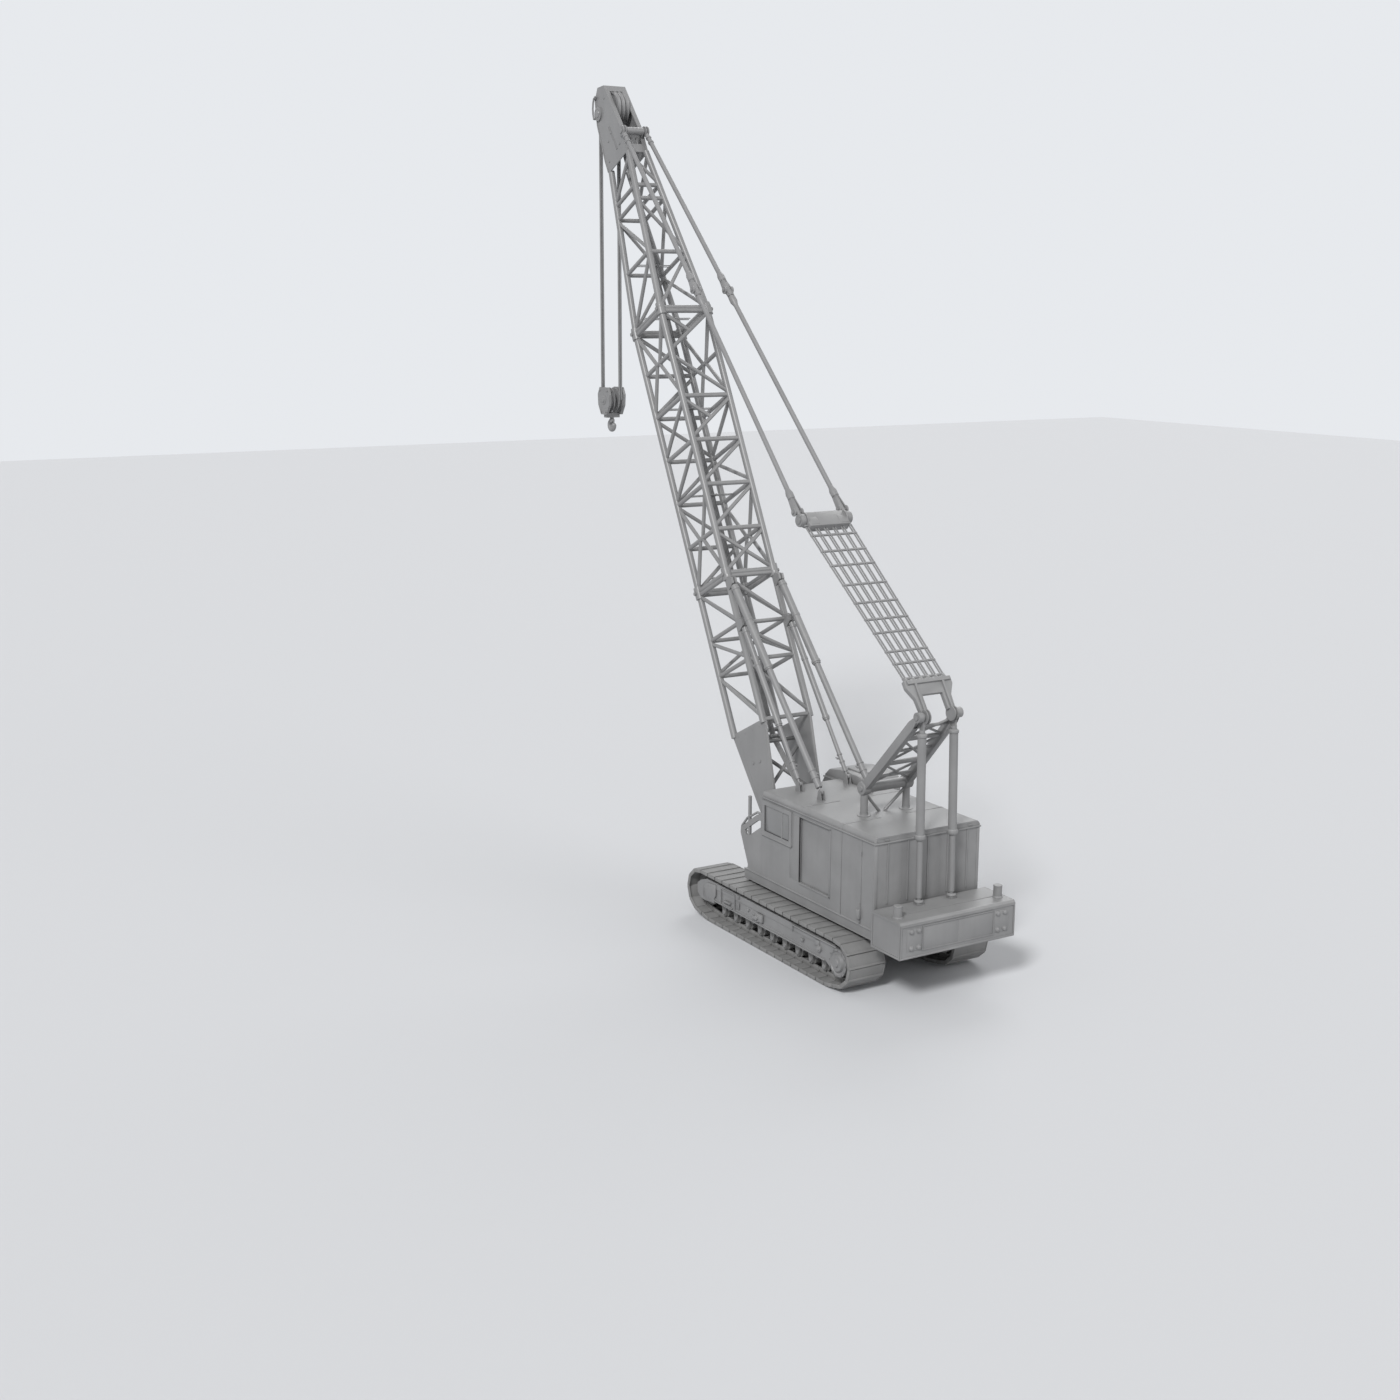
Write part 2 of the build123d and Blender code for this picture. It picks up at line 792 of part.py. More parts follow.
def coped(line, neighbours, keep_out=()):
    """Bar cut back to a weld gap from each neighbouring bar, and clear of the keep-out shapes."""
    bar = rod(*line)
    for start, end, radius in neighbours:
        bar -= rod(start, end, radius + seat_gap)
    for shape in keep_out:
        bar -= shape
    return bar.solids().sort_by(SortBy.VOLUME)[-1]


def lattice(low, high, stations, battens, braces, knees=(), crosses=(), collars=(), keep_out=()):
    """One boom section as (chords, bars), cut square at both ends. Side i lies between chords i and i + 1.

    Battens are (place, radius, sides) and go across at one place. Braces are (chord, station, chord, station).
    Knees are (chord, station, brace) and end at the middle of a brace. Crosses are (side, station): four bars from
    the chords, one station either way, to the middle of that station's batten. Collars are (low, high) spans.
    """
    chords = []
    lines = []
    for i in range(4):
        own = [chord_line(i, low, high, chord_radius)]
        own += [chord_line(i, start, end, collar_radius) for start, end in collars]
        post = rod(*own[0])
        for collar in own[1:]:
            post += rod(*collar)
        chords += [post & slab(low + seat_gap / 2, high - seat_gap / 2)]
        lines += [own]
    bars = []
    rails = {}
    for s, radius, sides in battens:
        for i in sides:
            rail = (corner(i, s), corner(i + 1, s), radius)
            bars += [coped(rail, lines[i] + lines[(i + 1) % 4], keep_out)]
            rails[i, s] = rail

    def leaving(i, k, other):
        """Point on chord i just off station k on the side of another station."""
        return corner(i, stations[k] + (lace_inset if other > k else -lace_inset))

    beams = []
    for a, k, b, m in braces:
        beams += [(leaving(a, k, m), leaving(b, m, k), lace_radius)]
        bars += [coped(beams[-1], lines[a] + lines[b], keep_out)]
    for a, k, n in knees:
        start, end, radius = beams[n]
        other = (braces[n][1] + braces[n][3]) / 2
        knee = (leaving(a, k, other), between(start, end, 0.5), radius)
        bars += [coped(knee, lines[a] + [beams[n]], keep_out)]
    for i, k in crosses:
        start, end, radius = rails[i, stations[k]]
        share = cross_spread / (Vector(*end) - Vector(*start)).length
        for a, foot in ((i, between(start, end, 0.5 - share)), ((i + 1) % 4, between(start, end, 0.5 + share))):
            for m in (k - 1, k + 1):
                leg = (leaving(a, m, k), foot, lace_radius)
                bars += [coped(leg, lines[a] + [(start, end, radius)], keep_out)]
    return chords, bars


def foot_plate(sign):
    """Side plate from the chords down to the foot boss, bored for its pin."""
    x = sign * foot_spacing / 2
    half = boom_depth / 2 + chord_radius
    outline = [(-80, 0), (-half, foot_plate_end), (half, foot_plate_end), (80, 0)]
    plate = boom_plate(x - foot_plate_thick / 2, foot_plate_thick, outline)
    plate += axle(x - foot_boss_width / 2, x + foot_boss_width / 2, foot_y, foot_z, foot_boss_radius)
    return plate - axle(x - foot_boss_width, x + foot_boss_width, foot_y, foot_z, foot_pin_radius + running_fit)


ear_reach = stop_ear_gap + stop_ear_thick
ear_tip = boom_depth / 2 + stop_standoff + 60


def stop_ears(x, s):
    """Two ears on the rear chord at x with their pin, for a strut pinned at s."""
    rear = boom_depth / 2
    outline = [(-rear, s - stop_ear_foot), (-ear_tip, s - 50), (-ear_tip, s + 50), (-rear, s + stop_ear_foot)]
    ears = boom_plate(x - ear_reach, stop_ear_thick, outline) + boom_plate(x + stop_ear_gap, stop_ear_thick, outline)
    return ears + boom_bar(x - ear_reach, x + ear_reach, -rear - stop_standoff, s, stop_pin_radius)


def around_ears(x, s):
    """The space of one pair of ears, with a weld gap round it."""
    near = -boom_depth / 2 + seat_gap
    low = s - stop_ear_foot - seat_gap
    high = s + stop_ear_foot + seat_gap
    half = ear_reach + seat_gap
    return boom_plate(x - half, 2 * half, [(near, low), (near, high), (-ear_tip, high), (-ear_tip, low)])


def stations_at(low, high, shares):
    """Stations at shares of the way between two places."""
    return [low + (high - low) * share for share in shares]


# Chords are numbered 0 rear left, 1 rear right, 2 front right, 3 front left.
# Sides are numbered 0 rear, 1 right, 2 front, 3 left.
all_sides = (0, 1, 2, 3)
collar_run = collar_length - chord_overrun
butt_collars = [(butt_length - collar_run, butt_length)]
mid_collars = [(butt_length, butt_length + collar_run), (mid_end - collar_run, mid_end)]
top_collars = [(mid_end, mid_end + collar_run)]
butt_stations = stations_at(foot_plate_end, butt_length, (0, 0.41, 0.66, 1))
butt_battens = [(butt_stations[0], batten_radius, (0, 2))]
butt_battens += [(s, batten_radius, all_sides) for s in butt_stations[1:3]]
butt_battens += [(butt_length - joint_bar_inset, joint_bar_radius, all_sides)]
butt_braces = [
    # from chord, from station, to chord, to station
    (0, 3, 1, 2), (0, 2, 1, 1), (0, 1, 1, 0),
    (2, 3, 1, 2), (2, 2, 1, 1), (2, 1, 1, 0),
    (3, 3, 2, 2), (2, 2, 3, 1), (3, 1, 2, 0),
    (3, 3, 0, 2), (3, 2, 0, 1), (3, 1, 0, 0),
]
ear_places = [(sign * boom_width / 2, s) for sign in (-1, 1) for s in (stop_along, prop_along)]
butt_chords, butt_bars = lattice(
    foot_plate_end - foot_plate_lap,
    butt_length,
    butt_stations,
    butt_battens,
    butt_braces,
    collars=butt_collars,
    keep_out=[around_ears(x, s) for x, s in ear_places],
)
left_side = [foot_plate(-1), butt_chords[0], butt_chords[3], *[stop_ears(*place) for place in ear_places[:2]]]
right_side = [foot_plate(1), butt_chords[1], butt_chords[2], *[stop_ears(*place) for place in ear_places[2:]]]
plate_inner = foot_spacing / 2 - foot_plate_thick / 2 - seat_gap
cross_brace = rod(at_boom(-boom_width / 2, 0, brace_high), at_boom(boom_width / 2, 0, brace_low), lace_radius)
cross_brace += mirror(cross_brace, about=Plane.YZ)
cross_brace &= block(-plate_inner, plate_inner, 0, 2 * butt_length, 0, butt_length)
cross_bar = boom_bar(-plate_inner, plate_inner, 0, brace_high + 100, batten_radius)
sides = [left_side[0].fuse(*left_side[1:]), right_side[0].fuse(*right_side[1:])]
save("boom_butt", [*sides, cross_brace, cross_bar, *butt_bars])

mid_stations = stations_at(butt_length, mid_end, [k / 6 for k in range(7)])
mid_battens = [(s, batten_radius, all_sides) for s in mid_stations[1:5]]
mid_battens += [(mid_stations[5], batten_radius, (1, 2, 3))]
mid_battens += [(s, joint_bar_radius, all_sides) for s in (butt_length + joint_bar_inset, mid_end - joint_bar_inset)]
mid_braces = [
    # from chord, from station, to chord, to station
    (1, 6, 0, 5), (0, 5, 1, 4), (1, 4, 0, 3), (1, 3, 0, 2), (1, 2, 0, 1), (1, 1, 0, 0),
    (3, 6, 2, 5), (2, 5, 3, 4), (3, 4, 2, 3), (2, 3, 3, 2), (3, 2, 2, 1), (2, 1, 3, 0),
    (0, 4, 3, 3), (0, 3, 3, 2),
    (1, 4, 2, 3), (2, 3, 1, 2),
]
mid_chords, mid_bars = lattice(
    butt_length,
    mid_end,
    mid_stations,
    mid_battens,
    mid_braces,
    knees=[(0, 6, 0), (0, 4, 2), (0, 1, 5), (1, 0, 5)],
    crosses=[(1, 1), (1, 5), (3, 1), (3, 5)],
    collars=mid_collars,
)
save("boom_mid", mid_chords + mid_bars)

top_stations = stations_at(mid_end, head_joint, (0, 0.36, 0.7, 0.785, 1))
top_battens = [(mid_end + joint_bar_inset, joint_bar_radius, all_sides)]
top_battens += [(s, batten_radius, all_sides) for s in top_stations[1:3]]
top_battens += [(top_stations[3], batten_radius, (0, 1, 3))]
top_braces = [
    # from chord, from station, to chord, to station
    (0, 0, 1, 1), (1, 1, 0, 2), (1, 3, 0, 4),
    (1, 0, 2, 1), (2, 1, 1, 2), (2, 3, 1, 4),
    (3, 0, 2, 1), (2, 1, 3, 2),
    (3, 0, 0, 1), (0, 1, 3, 2), (3, 3, 0, 4),
]
top_chords, top_bars = lattice(mid_end, head_joint, top_stations, top_battens, top_braces, collars=top_collars)
save("boom_top", top_chords + top_bars)

# Boom head

head_foot = head_joint + seat_gap
head_knee = head_joint + 590
head_peak = sheave_along + 518
head_crown = head_peak - 104
head_outline = [
    (-330, head_foot),
    (-315, head_knee),
    (-60, head_crown),
    (205, head_peak),
    (384, head_peak - 133),
    (551, sheave_along - 175),
    (592, head_joint + 258),
    (570, head_foot),
]
rim_outline = [(-330, head_foot), (-315, head_knee), (-60, head_crown), (205, head_peak)]
inner_rim = [(205, head_peak - 32), (-38, head_crown - 28), (-291, head_knee - 4), (-306, head_foot)]
plate_outer = head_plate_x + head_plate_thick
parts = []
for sign in (-1, 1):
    x = -plate_outer if sign < 0 else head_plate_x
    parts += [boom_plate(x, head_plate_thick, head_outline)]
    rim_x = -plate_outer if sign < 0 else plate_outer - head_rim
    parts += [boom_plate(rim_x, head_rim, rim_outline + inner_rim)]
crown = [(-60, head_crown), (205, head_peak), (205, head_peak - 32), (-38, head_crown - 28)]
parts += [boom_plate(-plate_outer, 2 * plate_outer, crown)]
window_top = [(-60, head_crown), (-38, head_crown - 28), (-66, head_crown - 150), (-93, head_crown - 150)]
parts += [boom_plate(-plate_outer, 2 * plate_outer, window_top)]
window_base = [(-330, head_foot), (-325, head_joint + 190), (-300, head_joint + 190), (-305, head_foot)]
parts += [boom_plate(-plate_outer, 2 * plate_outer, window_base)]
tip_pin = at_boom(0, -tip_pin_back, tip_pin_along)
ear_back = -tip_pin_back - 70
ear = [(-300, tip_pin_along + 80), (ear_back, tip_pin_along + 40), (ear_back, tip_pin_along - 40)]
ear += [(-300, tip_pin_along - 120)]
for ear_x in (-tip_ear_inner - tip_ear_thick, tip_ear_inner):
    parts += [boom_plate(ear_x, tip_ear_thick, ear)]
pin_half = pendant_half + pendant_eye_half + 4
parts += [boom_bar(-pin_half, pin_half, -tip_pin_back, tip_pin_along, tip_pin_radius)]
parts += [boom_bar(-tip_ear_inner, tip_ear_inner, -tip_pin_back, tip_pin_along, tip_bar_radius)]
parts += [boom_bar(-plate_outer, plate_outer, sheave_forward, sheave_along, sheave_pin_radius)]
for cap_x in (-plate_outer - sheave_cap_thick, plate_outer):
    parts += [boom_bar(cap_x, cap_x + sheave_cap_thick, sheave_forward, sheave_along, sheave_cap_radius)]
head = parts[0].fuse(*parts[1:])
save("boom_head", head)

sheave_pin = at_boom(0, sheave_forward, sheave_along)
groove = rope_radius + 2
root = rope_pitch_radius - rope_radius - seat_gap
bore = sheave_pin_radius + running_fit
half = fall_pair + groove
profile = [(-half - 8, bore), (-half - 8, sheave_radius), (-half, sheave_radius), (-half, root)]
profile += [(half, root), (half, sheave_radius), (half + 8, sheave_radius), (half + 8, bore)]
sheaves = []
for x in (-fall_half_spacing, 0, fall_half_spacing):
    sheaves += [wheel(profile, x, sheave_pin[1], sheave_pin[2])]
save("head_sheaves", sheaves)

# Boom hoist: bridle at the gantry head, rope falls, floating spreader and pendants


def beyond(start, end, distance):
    """Point at a distance from start on the way to end."""
    return between(start, end, distance / (Vector(*end) - Vector(*start)).length)


pendants = []
for sign in (-1, 1):
    low = (sign * spreader_half, spreader_y, spreader_z)
    high = (sign * pendant_half, tip_pin[1], tip_pin[2])
    eye_ends = (sign * (pendant_half - pendant_eye_half), sign * (pendant_half + pendant_eye_half))
    bar = rod(low, high, pendant_radius) - axle(-1000, 1000, spreader_y, spreader_z, spreader_radius + seat_gap)
    bar += axle(*eye_ends, tip_pin[1], tip_pin[2], pendant_eye)
    bar += rod(between(low, high, 0.545), between(low, high, 0.575), pendant_radius + 16)
    pendants += [bar - axle(-1000, 1000, tip_pin[1], tip_pin[2], tip_pin_radius + running_fit)]
save("pendants", pendants)
spreader_reach = spreader_half + spreader_overhang
fall_way = Vector(0, spreader_y - bridle_y, spreader_z - bridle_z).normalized()
spreader = axle(-spreader_reach, spreader_reach, spreader_y, spreader_z, spreader_radius)
beam_low = spreader_radius - seat_gap
beam_foot = Vector(0, spreader_y, spreader_z) - fall_way * beam_low
beam_plane = Plane(origin=beam_foot, x_dir=(1, 0, 0), z_dir=fall_way)
beam_section = Rectangle(2 * spreader_beam_half, spreader_beam_thick)
spreader += extrude(beam_plane * beam_section, beam_low + spreader_beam_high)
cheek_inner = spreader_half + pendant_radius + 4
for sign in (-1, 1):
    spreader += axle(sign * cheek_inner, sign * spreader_reach, spreader_y, spreader_z, spreader_cheek_radius)
save("spreader", spreader)

bridle_plane = Plane(origin=(0, bridle_y, bridle_z), x_dir=(1, 0, 0), z_dir=fall_way)
bridle = extrude(bridle_plane * Rectangle(2 * bridle_half, bridle_depth), bridle_thick / 2, both=True)
arm_way = Vector(0, bridle_y - gantry_y, bridle_z - gantry_z).normalized()
arm_outline = []
for end_y, end_z, turn in ((gantry_y, gantry_z, 1), (gantry_y, gantry_z, -1), (bridle_y, bridle_z, -1), (bridle_y, bridle_z, 1)):
    out = turn * bridle_arm_depth / 2
    arm_outline += [(end_y - out * arm_way.Z, end_z + out * arm_way.Y)]
for sign in (-1, 1):
    x = sign * bridle_eye_x
    bridle += side_plate(x - bridle_eye_width / 2, bridle_eye_width, arm_outline)
    bridle += axle(x - bridle_eye_width / 2, x + bridle_eye_width / 2, gantry_y, gantry_z, bridle_eye_radius)
save("bridle", bridle)
falls = []
for k in (-5, -3, -1, 1, 3, 5):
    for off in (-fall_pair, fall_pair):
        low = (k * bridle_rope_pitch / 2 + off, bridle_y, bridle_z)
        high = (k * spreader_rope_pitch / 2 + off, spreader_y, spreader_z)
        low_end = beyond(low, high, bridle_thick / 2 + seat_gap)
        falls += [rod(low_end, beyond(high, low, spreader_radius + seat_gap), hoist_fall_radius)]
save("hoist_falls", falls)

# Boom stops: struts from the boom to the house roof, each a tube and the rod that slides in it


def strut_pair(x, pin, foot, tube_length, tube_radius, rod_radius, rod_start):
    """Tube pinned at the boom and the rod that slides out of it down to the foot."""
    pin = (x, pin[1], pin[2])
    length = hypot(foot[1] - pin[1], foot[2] - pin[2])
    eye = stop_ear_gap - moving_gap
    tube = rod(between(pin, foot, stop_neck / length), between(pin, foot, tube_length / length), tube_radius)
    tube -= rod(between(pin, foot, (stop_neck + stop_cap) / length), foot, rod_radius + running_fit)
    tube += rod(pin, between(pin, foot, (stop_neck + stop_cap / 2) / length), eye - 3)
    tube += axle(x - eye, x + eye, pin[1], pin[2], stop_eye_radius)
    tube -= axle(x - 100, x + 100, pin[1], pin[2], stop_pin_radius + running_fit)
    slider = rod(between(pin, foot, rod_start / length), between(pin, foot, 1 - stop_neck / length), rod_radius)
    slider += rod(between(pin, foot, 1 - (stop_neck + stop_cap) / length), foot, eye - 3)
    slider += axle(x - eye, x + eye, foot[1], foot[2], stop_eye_radius)
    return tube, slider


strut_table = [
    # name, place of the boom pin, place of the roof foot, tube length, tube radius, rod radius, rod start
    ("stop", stop_along, stop_foot_y, stop_tube_length, stop_tube_radius, stop_rod_radius, stop_rod_start),
    ("prop", prop_along, prop_foot_y, prop_tube_length, prop_tube_radius, prop_rod_radius, prop_rod_start),
]
for name, along, foot_at, tube_length, tube_radius, rod_radius, rod_start in strut_table:
    tubes = []
    rods = []
    for sign in (-1, 1):
        x = sign * boom_width / 2
        pin = at_boom(x, -boom_depth / 2 - stop_standoff, along)
        foot = (x, foot_at, stop_foot_z)
        tube, slider = strut_pair(x, pin, foot, tube_length, tube_radius, rod_radius, rod_start)
        tubes += [tube]
        rods += [slider]
    save(f"{name}_tubes", tubes)
    save(f"{name}_rods", rods)

# Hook block on its falls

block_z = sheave_pin[2] - hook_drop
falls = []
for sign in (-1, 1):
    y = sheave_pin[1] - sign * rope_pitch_radius
    for off in (-fall_pair, fall_pair):
        x = sign * fall_half_spacing + off
        falls += [rod((x, y, block_z), (x, y, sheave_pin[2]), rope_radius)]
save("load_falls", falls)
block_sheaves = []
for sign in (-1, 1):
    block_sheaves += [wheel(profile, sign * fall_half_spacing, sheave_pin[1], block_z)]
save("block_sheaves", block_sheaves)
y = sheave_pin[1]
cheek_outline = [
    (y - cheek_half_length, block_z + 120),
    (y - cheek_half_length + 90, block_z + 280),
    (y + cheek_half_length - 90, block_z + 280),
    (y + cheek_half_length, block_z + 120),
    (y + cheek_half_length - 20, block_z - 120),
    (y + 130, block_z - 330),
    (y - 130, block_z - 330),
    (y - cheek_half_length + 20, block_z - 120),
]
outer = fall_half_spacing + half + 8 + moving_gap
hook_block = side_plate(-outer - cheek_thick, cheek_thick, cheek_outline)
hook_block += side_plate(outer, cheek_thick, cheek_outline)
hook_block += axle(-outer - 10, outer + 10, y, block_z, sheave_pin_radius)
hook_block += block(-outer - 10, outer + 10, y - 70, y + 70, block_z - 400, block_z - 295)
hook_block -= rod((0, y, block_z - 500), (0, y, block_z - 200), shank_radius + running_fit)
save("hook_block", hook_block)

shank_end = block_z - 480
hook = rod((0, y, shank_end), (0, y, block_z - 289), shank_radius)
hook += rod((0, y, block_z - 294.7), (0, y, block_z - 283), 52)
bend = 95
centre_z = shank_end - bend
bowl = Plane(origin=(0, y, centre_z), x_dir=(0, 1, 0), z_dir=(1, 0, 0)) * CenterArc((0, 0), bend, 90, -270)
section = Plane(origin=(0, y, shank_end), x_dir=(1, 0, 0), z_dir=(0, 1, 0)) * Circle(42)
hook += sweep(section, path=bowl)
hook += Pos(0, y - bend, centre_z) * Sphere(42)
save("hook", hook)
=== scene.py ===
# Finish, small fittings, rope and studio for a lattice-boom crawler crane
# Metres, Z up, Y forward, X to the operator's right
import json
from math import acos, atan2, cos, hypot, pi, radians, sin

import bmesh
import bpy
from mathutils import Euler, Matrix, Vector


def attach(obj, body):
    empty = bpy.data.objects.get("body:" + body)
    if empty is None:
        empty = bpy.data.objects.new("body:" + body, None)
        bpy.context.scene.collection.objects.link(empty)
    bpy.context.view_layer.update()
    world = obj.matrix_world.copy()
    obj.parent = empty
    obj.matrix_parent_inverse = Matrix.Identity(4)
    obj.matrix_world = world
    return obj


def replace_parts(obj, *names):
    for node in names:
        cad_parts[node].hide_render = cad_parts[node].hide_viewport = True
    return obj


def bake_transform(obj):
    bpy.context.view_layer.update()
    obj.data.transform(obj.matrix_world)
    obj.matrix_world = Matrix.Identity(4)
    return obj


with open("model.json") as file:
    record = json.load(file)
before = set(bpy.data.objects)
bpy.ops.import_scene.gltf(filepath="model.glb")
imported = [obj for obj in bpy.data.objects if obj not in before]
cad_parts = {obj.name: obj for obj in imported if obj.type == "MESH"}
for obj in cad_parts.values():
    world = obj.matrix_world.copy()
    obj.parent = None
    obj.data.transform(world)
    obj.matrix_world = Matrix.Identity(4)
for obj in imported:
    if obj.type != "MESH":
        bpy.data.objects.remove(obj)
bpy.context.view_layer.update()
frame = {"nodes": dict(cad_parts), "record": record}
nodes = frame["nodes"]
print("frame loaded:", len(nodes), "nodes")

# Camera: the photograph's viewing angle

photoView = {
    "place": (-19.587, -27.574, 12.272),
    "turnRight": 30.99,   # degrees from straight ahead
    "tiltDown": 12.508,
    "roll": 0.166,
    "sensor": 36.0,
    "lens": 46.305,
}

cameraData = bpy.data.cameras.new("photoCamera")
cameraData.sensor_width = photoView["sensor"]
cameraData.lens = photoView["lens"]
cameraData.clip_end = 300
camera = bpy.data.objects.new("photoCamera", cameraData)
bpy.context.collection.objects.link(camera)
look = Euler((radians(90 - photoView["tiltDown"]), 0, radians(-photoView["turnRight"]))).to_matrix().to_4x4()
roll = Matrix.Rotation(radians(photoView["roll"]), 4, "Z")
camera.matrix_world = Matrix.Translation(photoView["place"]) @ look @ roll
bpy.context.scene.camera = camera

# Studio: pale floor and soft light

studio = {
    "floorSize": 240,
    "floorColour": (0.62, 0.63, 0.65),
    "backColour": (0.80, 0.82, 0.85),
    "ambient": 0.42,
    "lamps": [   # name, strength, angle, turn from behind the camera, height
        ("keySun", 2.3, 12, -22, 40),
        ("fillSun", 0.55, 40, 62, 28),
        ("rimSun", 0.6, 30, 165, 38),
    ],
}


def linkNodes(tree, pairs):
    for out, into in pairs:
        tree.links.new(out, into)


world = bpy.data.worlds.new("studioSky")
bpy.context.scene.world = world
world.use_nodes = True
sky = world.node_tree
sky.nodes.clear()
rays = sky.nodes.new("ShaderNodeLightPath")
seen = sky.nodes.new("ShaderNodeMath")
seen.operation = "MAXIMUM"
seenAll = sky.nodes.new("ShaderNodeMath")
seenAll.operation = "MAXIMUM"
ambient = sky.nodes.new("ShaderNodeBackground")
ambient.inputs["Color"].default_value = (1, 1, 1, 1)
ambient.inputs["Strength"].default_value = studio["ambient"]
backdrop = sky.nodes.new("ShaderNodeBackground")
backdrop.inputs["Color"].default_value = (*studio["backColour"], 1)
backdrop.inputs["Strength"].default_value = 1
choose = sky.nodes.new("ShaderNodeMixShader")
skyOut = sky.nodes.new("ShaderNodeOutputWorld")
linkNodes(sky, [
    (rays.outputs["Is Camera Ray"], seen.inputs[0]),
    (rays.outputs["Is Glossy Ray"], seen.inputs[1]),
    (seen.outputs[0], seenAll.inputs[0]),
    (rays.outputs["Is Transmission Ray"], seenAll.inputs[1]),
    (seenAll.outputs[0], choose.inputs["Fac"]),
    (ambient.outputs[0], choose.inputs[1]),
    (backdrop.outputs[0], choose.inputs[2]),
    (choose.outputs[0], skyOut.inputs["Surface"]),
])
for lampName, strength, angle, turn, height in studio["lamps"]:
    lampData = bpy.data.lights.new(lampName, "SUN")
    lampData.energy = strength
    lampData.angle = radians(angle)
    lamp = bpy.data.objects.new(lampName, lampData)
    bpy.context.collection.objects.link(lamp)
    lamp.rotation_euler = (radians(90 - height), 0, radians(-photoView["turnRight"] + turn))
bpy.context.scene.view_settings.view_transform = "Standard"

floorMesh = bmesh.new()
bmesh.ops.create_grid(floorMesh, x_segments=1, y_segments=1, size=studio["floorSize"] / 2)
floorData = bpy.data.meshes.new("studioFloor")
floorMesh.to_mesh(floorData)
floorMesh.free()
floor = bpy.data.objects.new("studioFloor", floorData)
bpy.context.collection.objects.link(floor)
floor.location.z = -0.002
floorPaint = bpy.data.materials.new("paleFloor")
floorPaint.use_nodes = True
floorShader = floorPaint.node_tree.nodes["Principled BSDF"]
floorShader.inputs["Base Color"].default_value = (*studio["floorColour"], 1)
floorShader.inputs["Roughness"].default_value = 0.9
floorData.materials.append(floorPaint)
print("camera and studio ready")

# Finishes


def newGroup(name, inputs, outputs):   # sockets are (name, type, default)
    group = bpy.data.node_groups.new(name, "ShaderNodeTree")
    for label, kind, value in inputs:
        socket = group.interface.new_socket(label, in_out="INPUT", socket_type=kind)
        socket.default_value = value
    for label, kind in outputs:
        group.interface.new_socket(label, in_out="OUTPUT", socket_type=kind)
    return group, group.nodes.new("NodeGroupInput"), group.nodes.new("NodeGroupOutput")


def mathNode(group, operation, first, second):
    node = group.nodes.new("ShaderNodeMath")
    node.operation = operation
    for value, socket in ((first, node.inputs[0]), (second, node.inputs[1])):
        if isinstance(value, (int, float)):
            socket.default_value = value
        else:
            group.links.new(value, socket)
    return node.outputs[0]


def noiseNode(group, place, scale, detail=4.0):
    node = group.nodes.new("ShaderNodeTexNoise")
    node.inputs["Detail"].default_value = detail
    group.links.new(place, node.inputs["Vector"])
    if isinstance(scale, (int, float)):
        node.inputs["Scale"].default_value = scale
    else:
        group.links.new(scale, node.inputs["Scale"])
    return node.outputs["Fac"]


# Coat: broad patches, fine grain, and upward faces mixed towards a lighter grey in patches, partly settled
# dust and partly painted light on the tops, all on object coordinates
coatGroup, coatIn, coatOut = newGroup(
    "coatWearAndTopLight",
    [
        ("Colour", "NodeSocketColor", (0.2, 0.2, 0.2, 1)),
        ("Patch Scale", "NodeSocketFloat", 1.5),
        ("Patch Depth", "NodeSocketFloat", 0.2),
        ("Grain Scale", "NodeSocketFloat", 60.0),
        ("Dust And Top Light", "NodeSocketFloat", 0.15),
        ("Gloss Low", "NodeSocketFloat", 0.35),
        ("Gloss High", "NodeSocketFloat", 0.55),
    ],
    [("Colour", "NodeSocketColor"), ("Roughness", "NodeSocketFloat"), ("Height", "NodeSocketFloat")],
)
where = coatGroup.nodes.new("ShaderNodeTexCoord").outputs["Object"]
patches = noiseNode(coatGroup, where, coatIn.outputs["Patch Scale"], 6.0)
grain = noiseNode(coatGroup, where, coatIn.outputs["Grain Scale"], 3.0)
streakMap = coatGroup.nodes.new("ShaderNodeMapping")
streakMap.inputs["Scale"].default_value = (9, 9, 0.7)
coatGroup.links.new(where, streakMap.inputs["Vector"])
streaks = noiseNode(coatGroup, streakMap.outputs[0], 1.0, 5.0)
shift = mathNode(coatGroup, "SUBTRACT", patches, 0.5)
shift = mathNode(coatGroup, "MULTIPLY", shift, coatIn.outputs["Patch Depth"])
streakShift = mathNode(coatGroup, "MULTIPLY", mathNode(coatGroup, "SUBTRACT", streaks, 0.5), 0.12)
level = mathNode(coatGroup, "ADD", mathNode(coatGroup, "ADD", shift, streakShift), 1.0)
tint = coatGroup.nodes.new("ShaderNodeVectorMath")
tint.operation = "SCALE"
linkNodes(coatGroup, [(coatIn.outputs["Colour"], tint.inputs[0]), (level, tint.inputs["Scale"])])
# Upward faces go towards a lighter grey in patches: partly settled dust, partly painted light on the tops
facing = coatGroup.nodes.new("ShaderNodeNewGeometry")
upward = coatGroup.nodes.new("ShaderNodeSeparateXYZ")
coatGroup.links.new(facing.outputs["Normal"], upward.inputs[0])
dustAndTopLightMask = mathNode(coatGroup, "MAXIMUM", upward.outputs["Z"], 0.0)
dustAndTopLightLevel = mathNode(coatGroup, "MULTIPLY", patches, coatIn.outputs["Dust And Top Light"])
dustAndTopLightMask = mathNode(coatGroup, "MULTIPLY", dustAndTopLightMask, dustAndTopLightLevel)
dustAndTopLightMix = coatGroup.nodes.new("ShaderNodeMix")
dustAndTopLightMix.data_type = "RGBA"
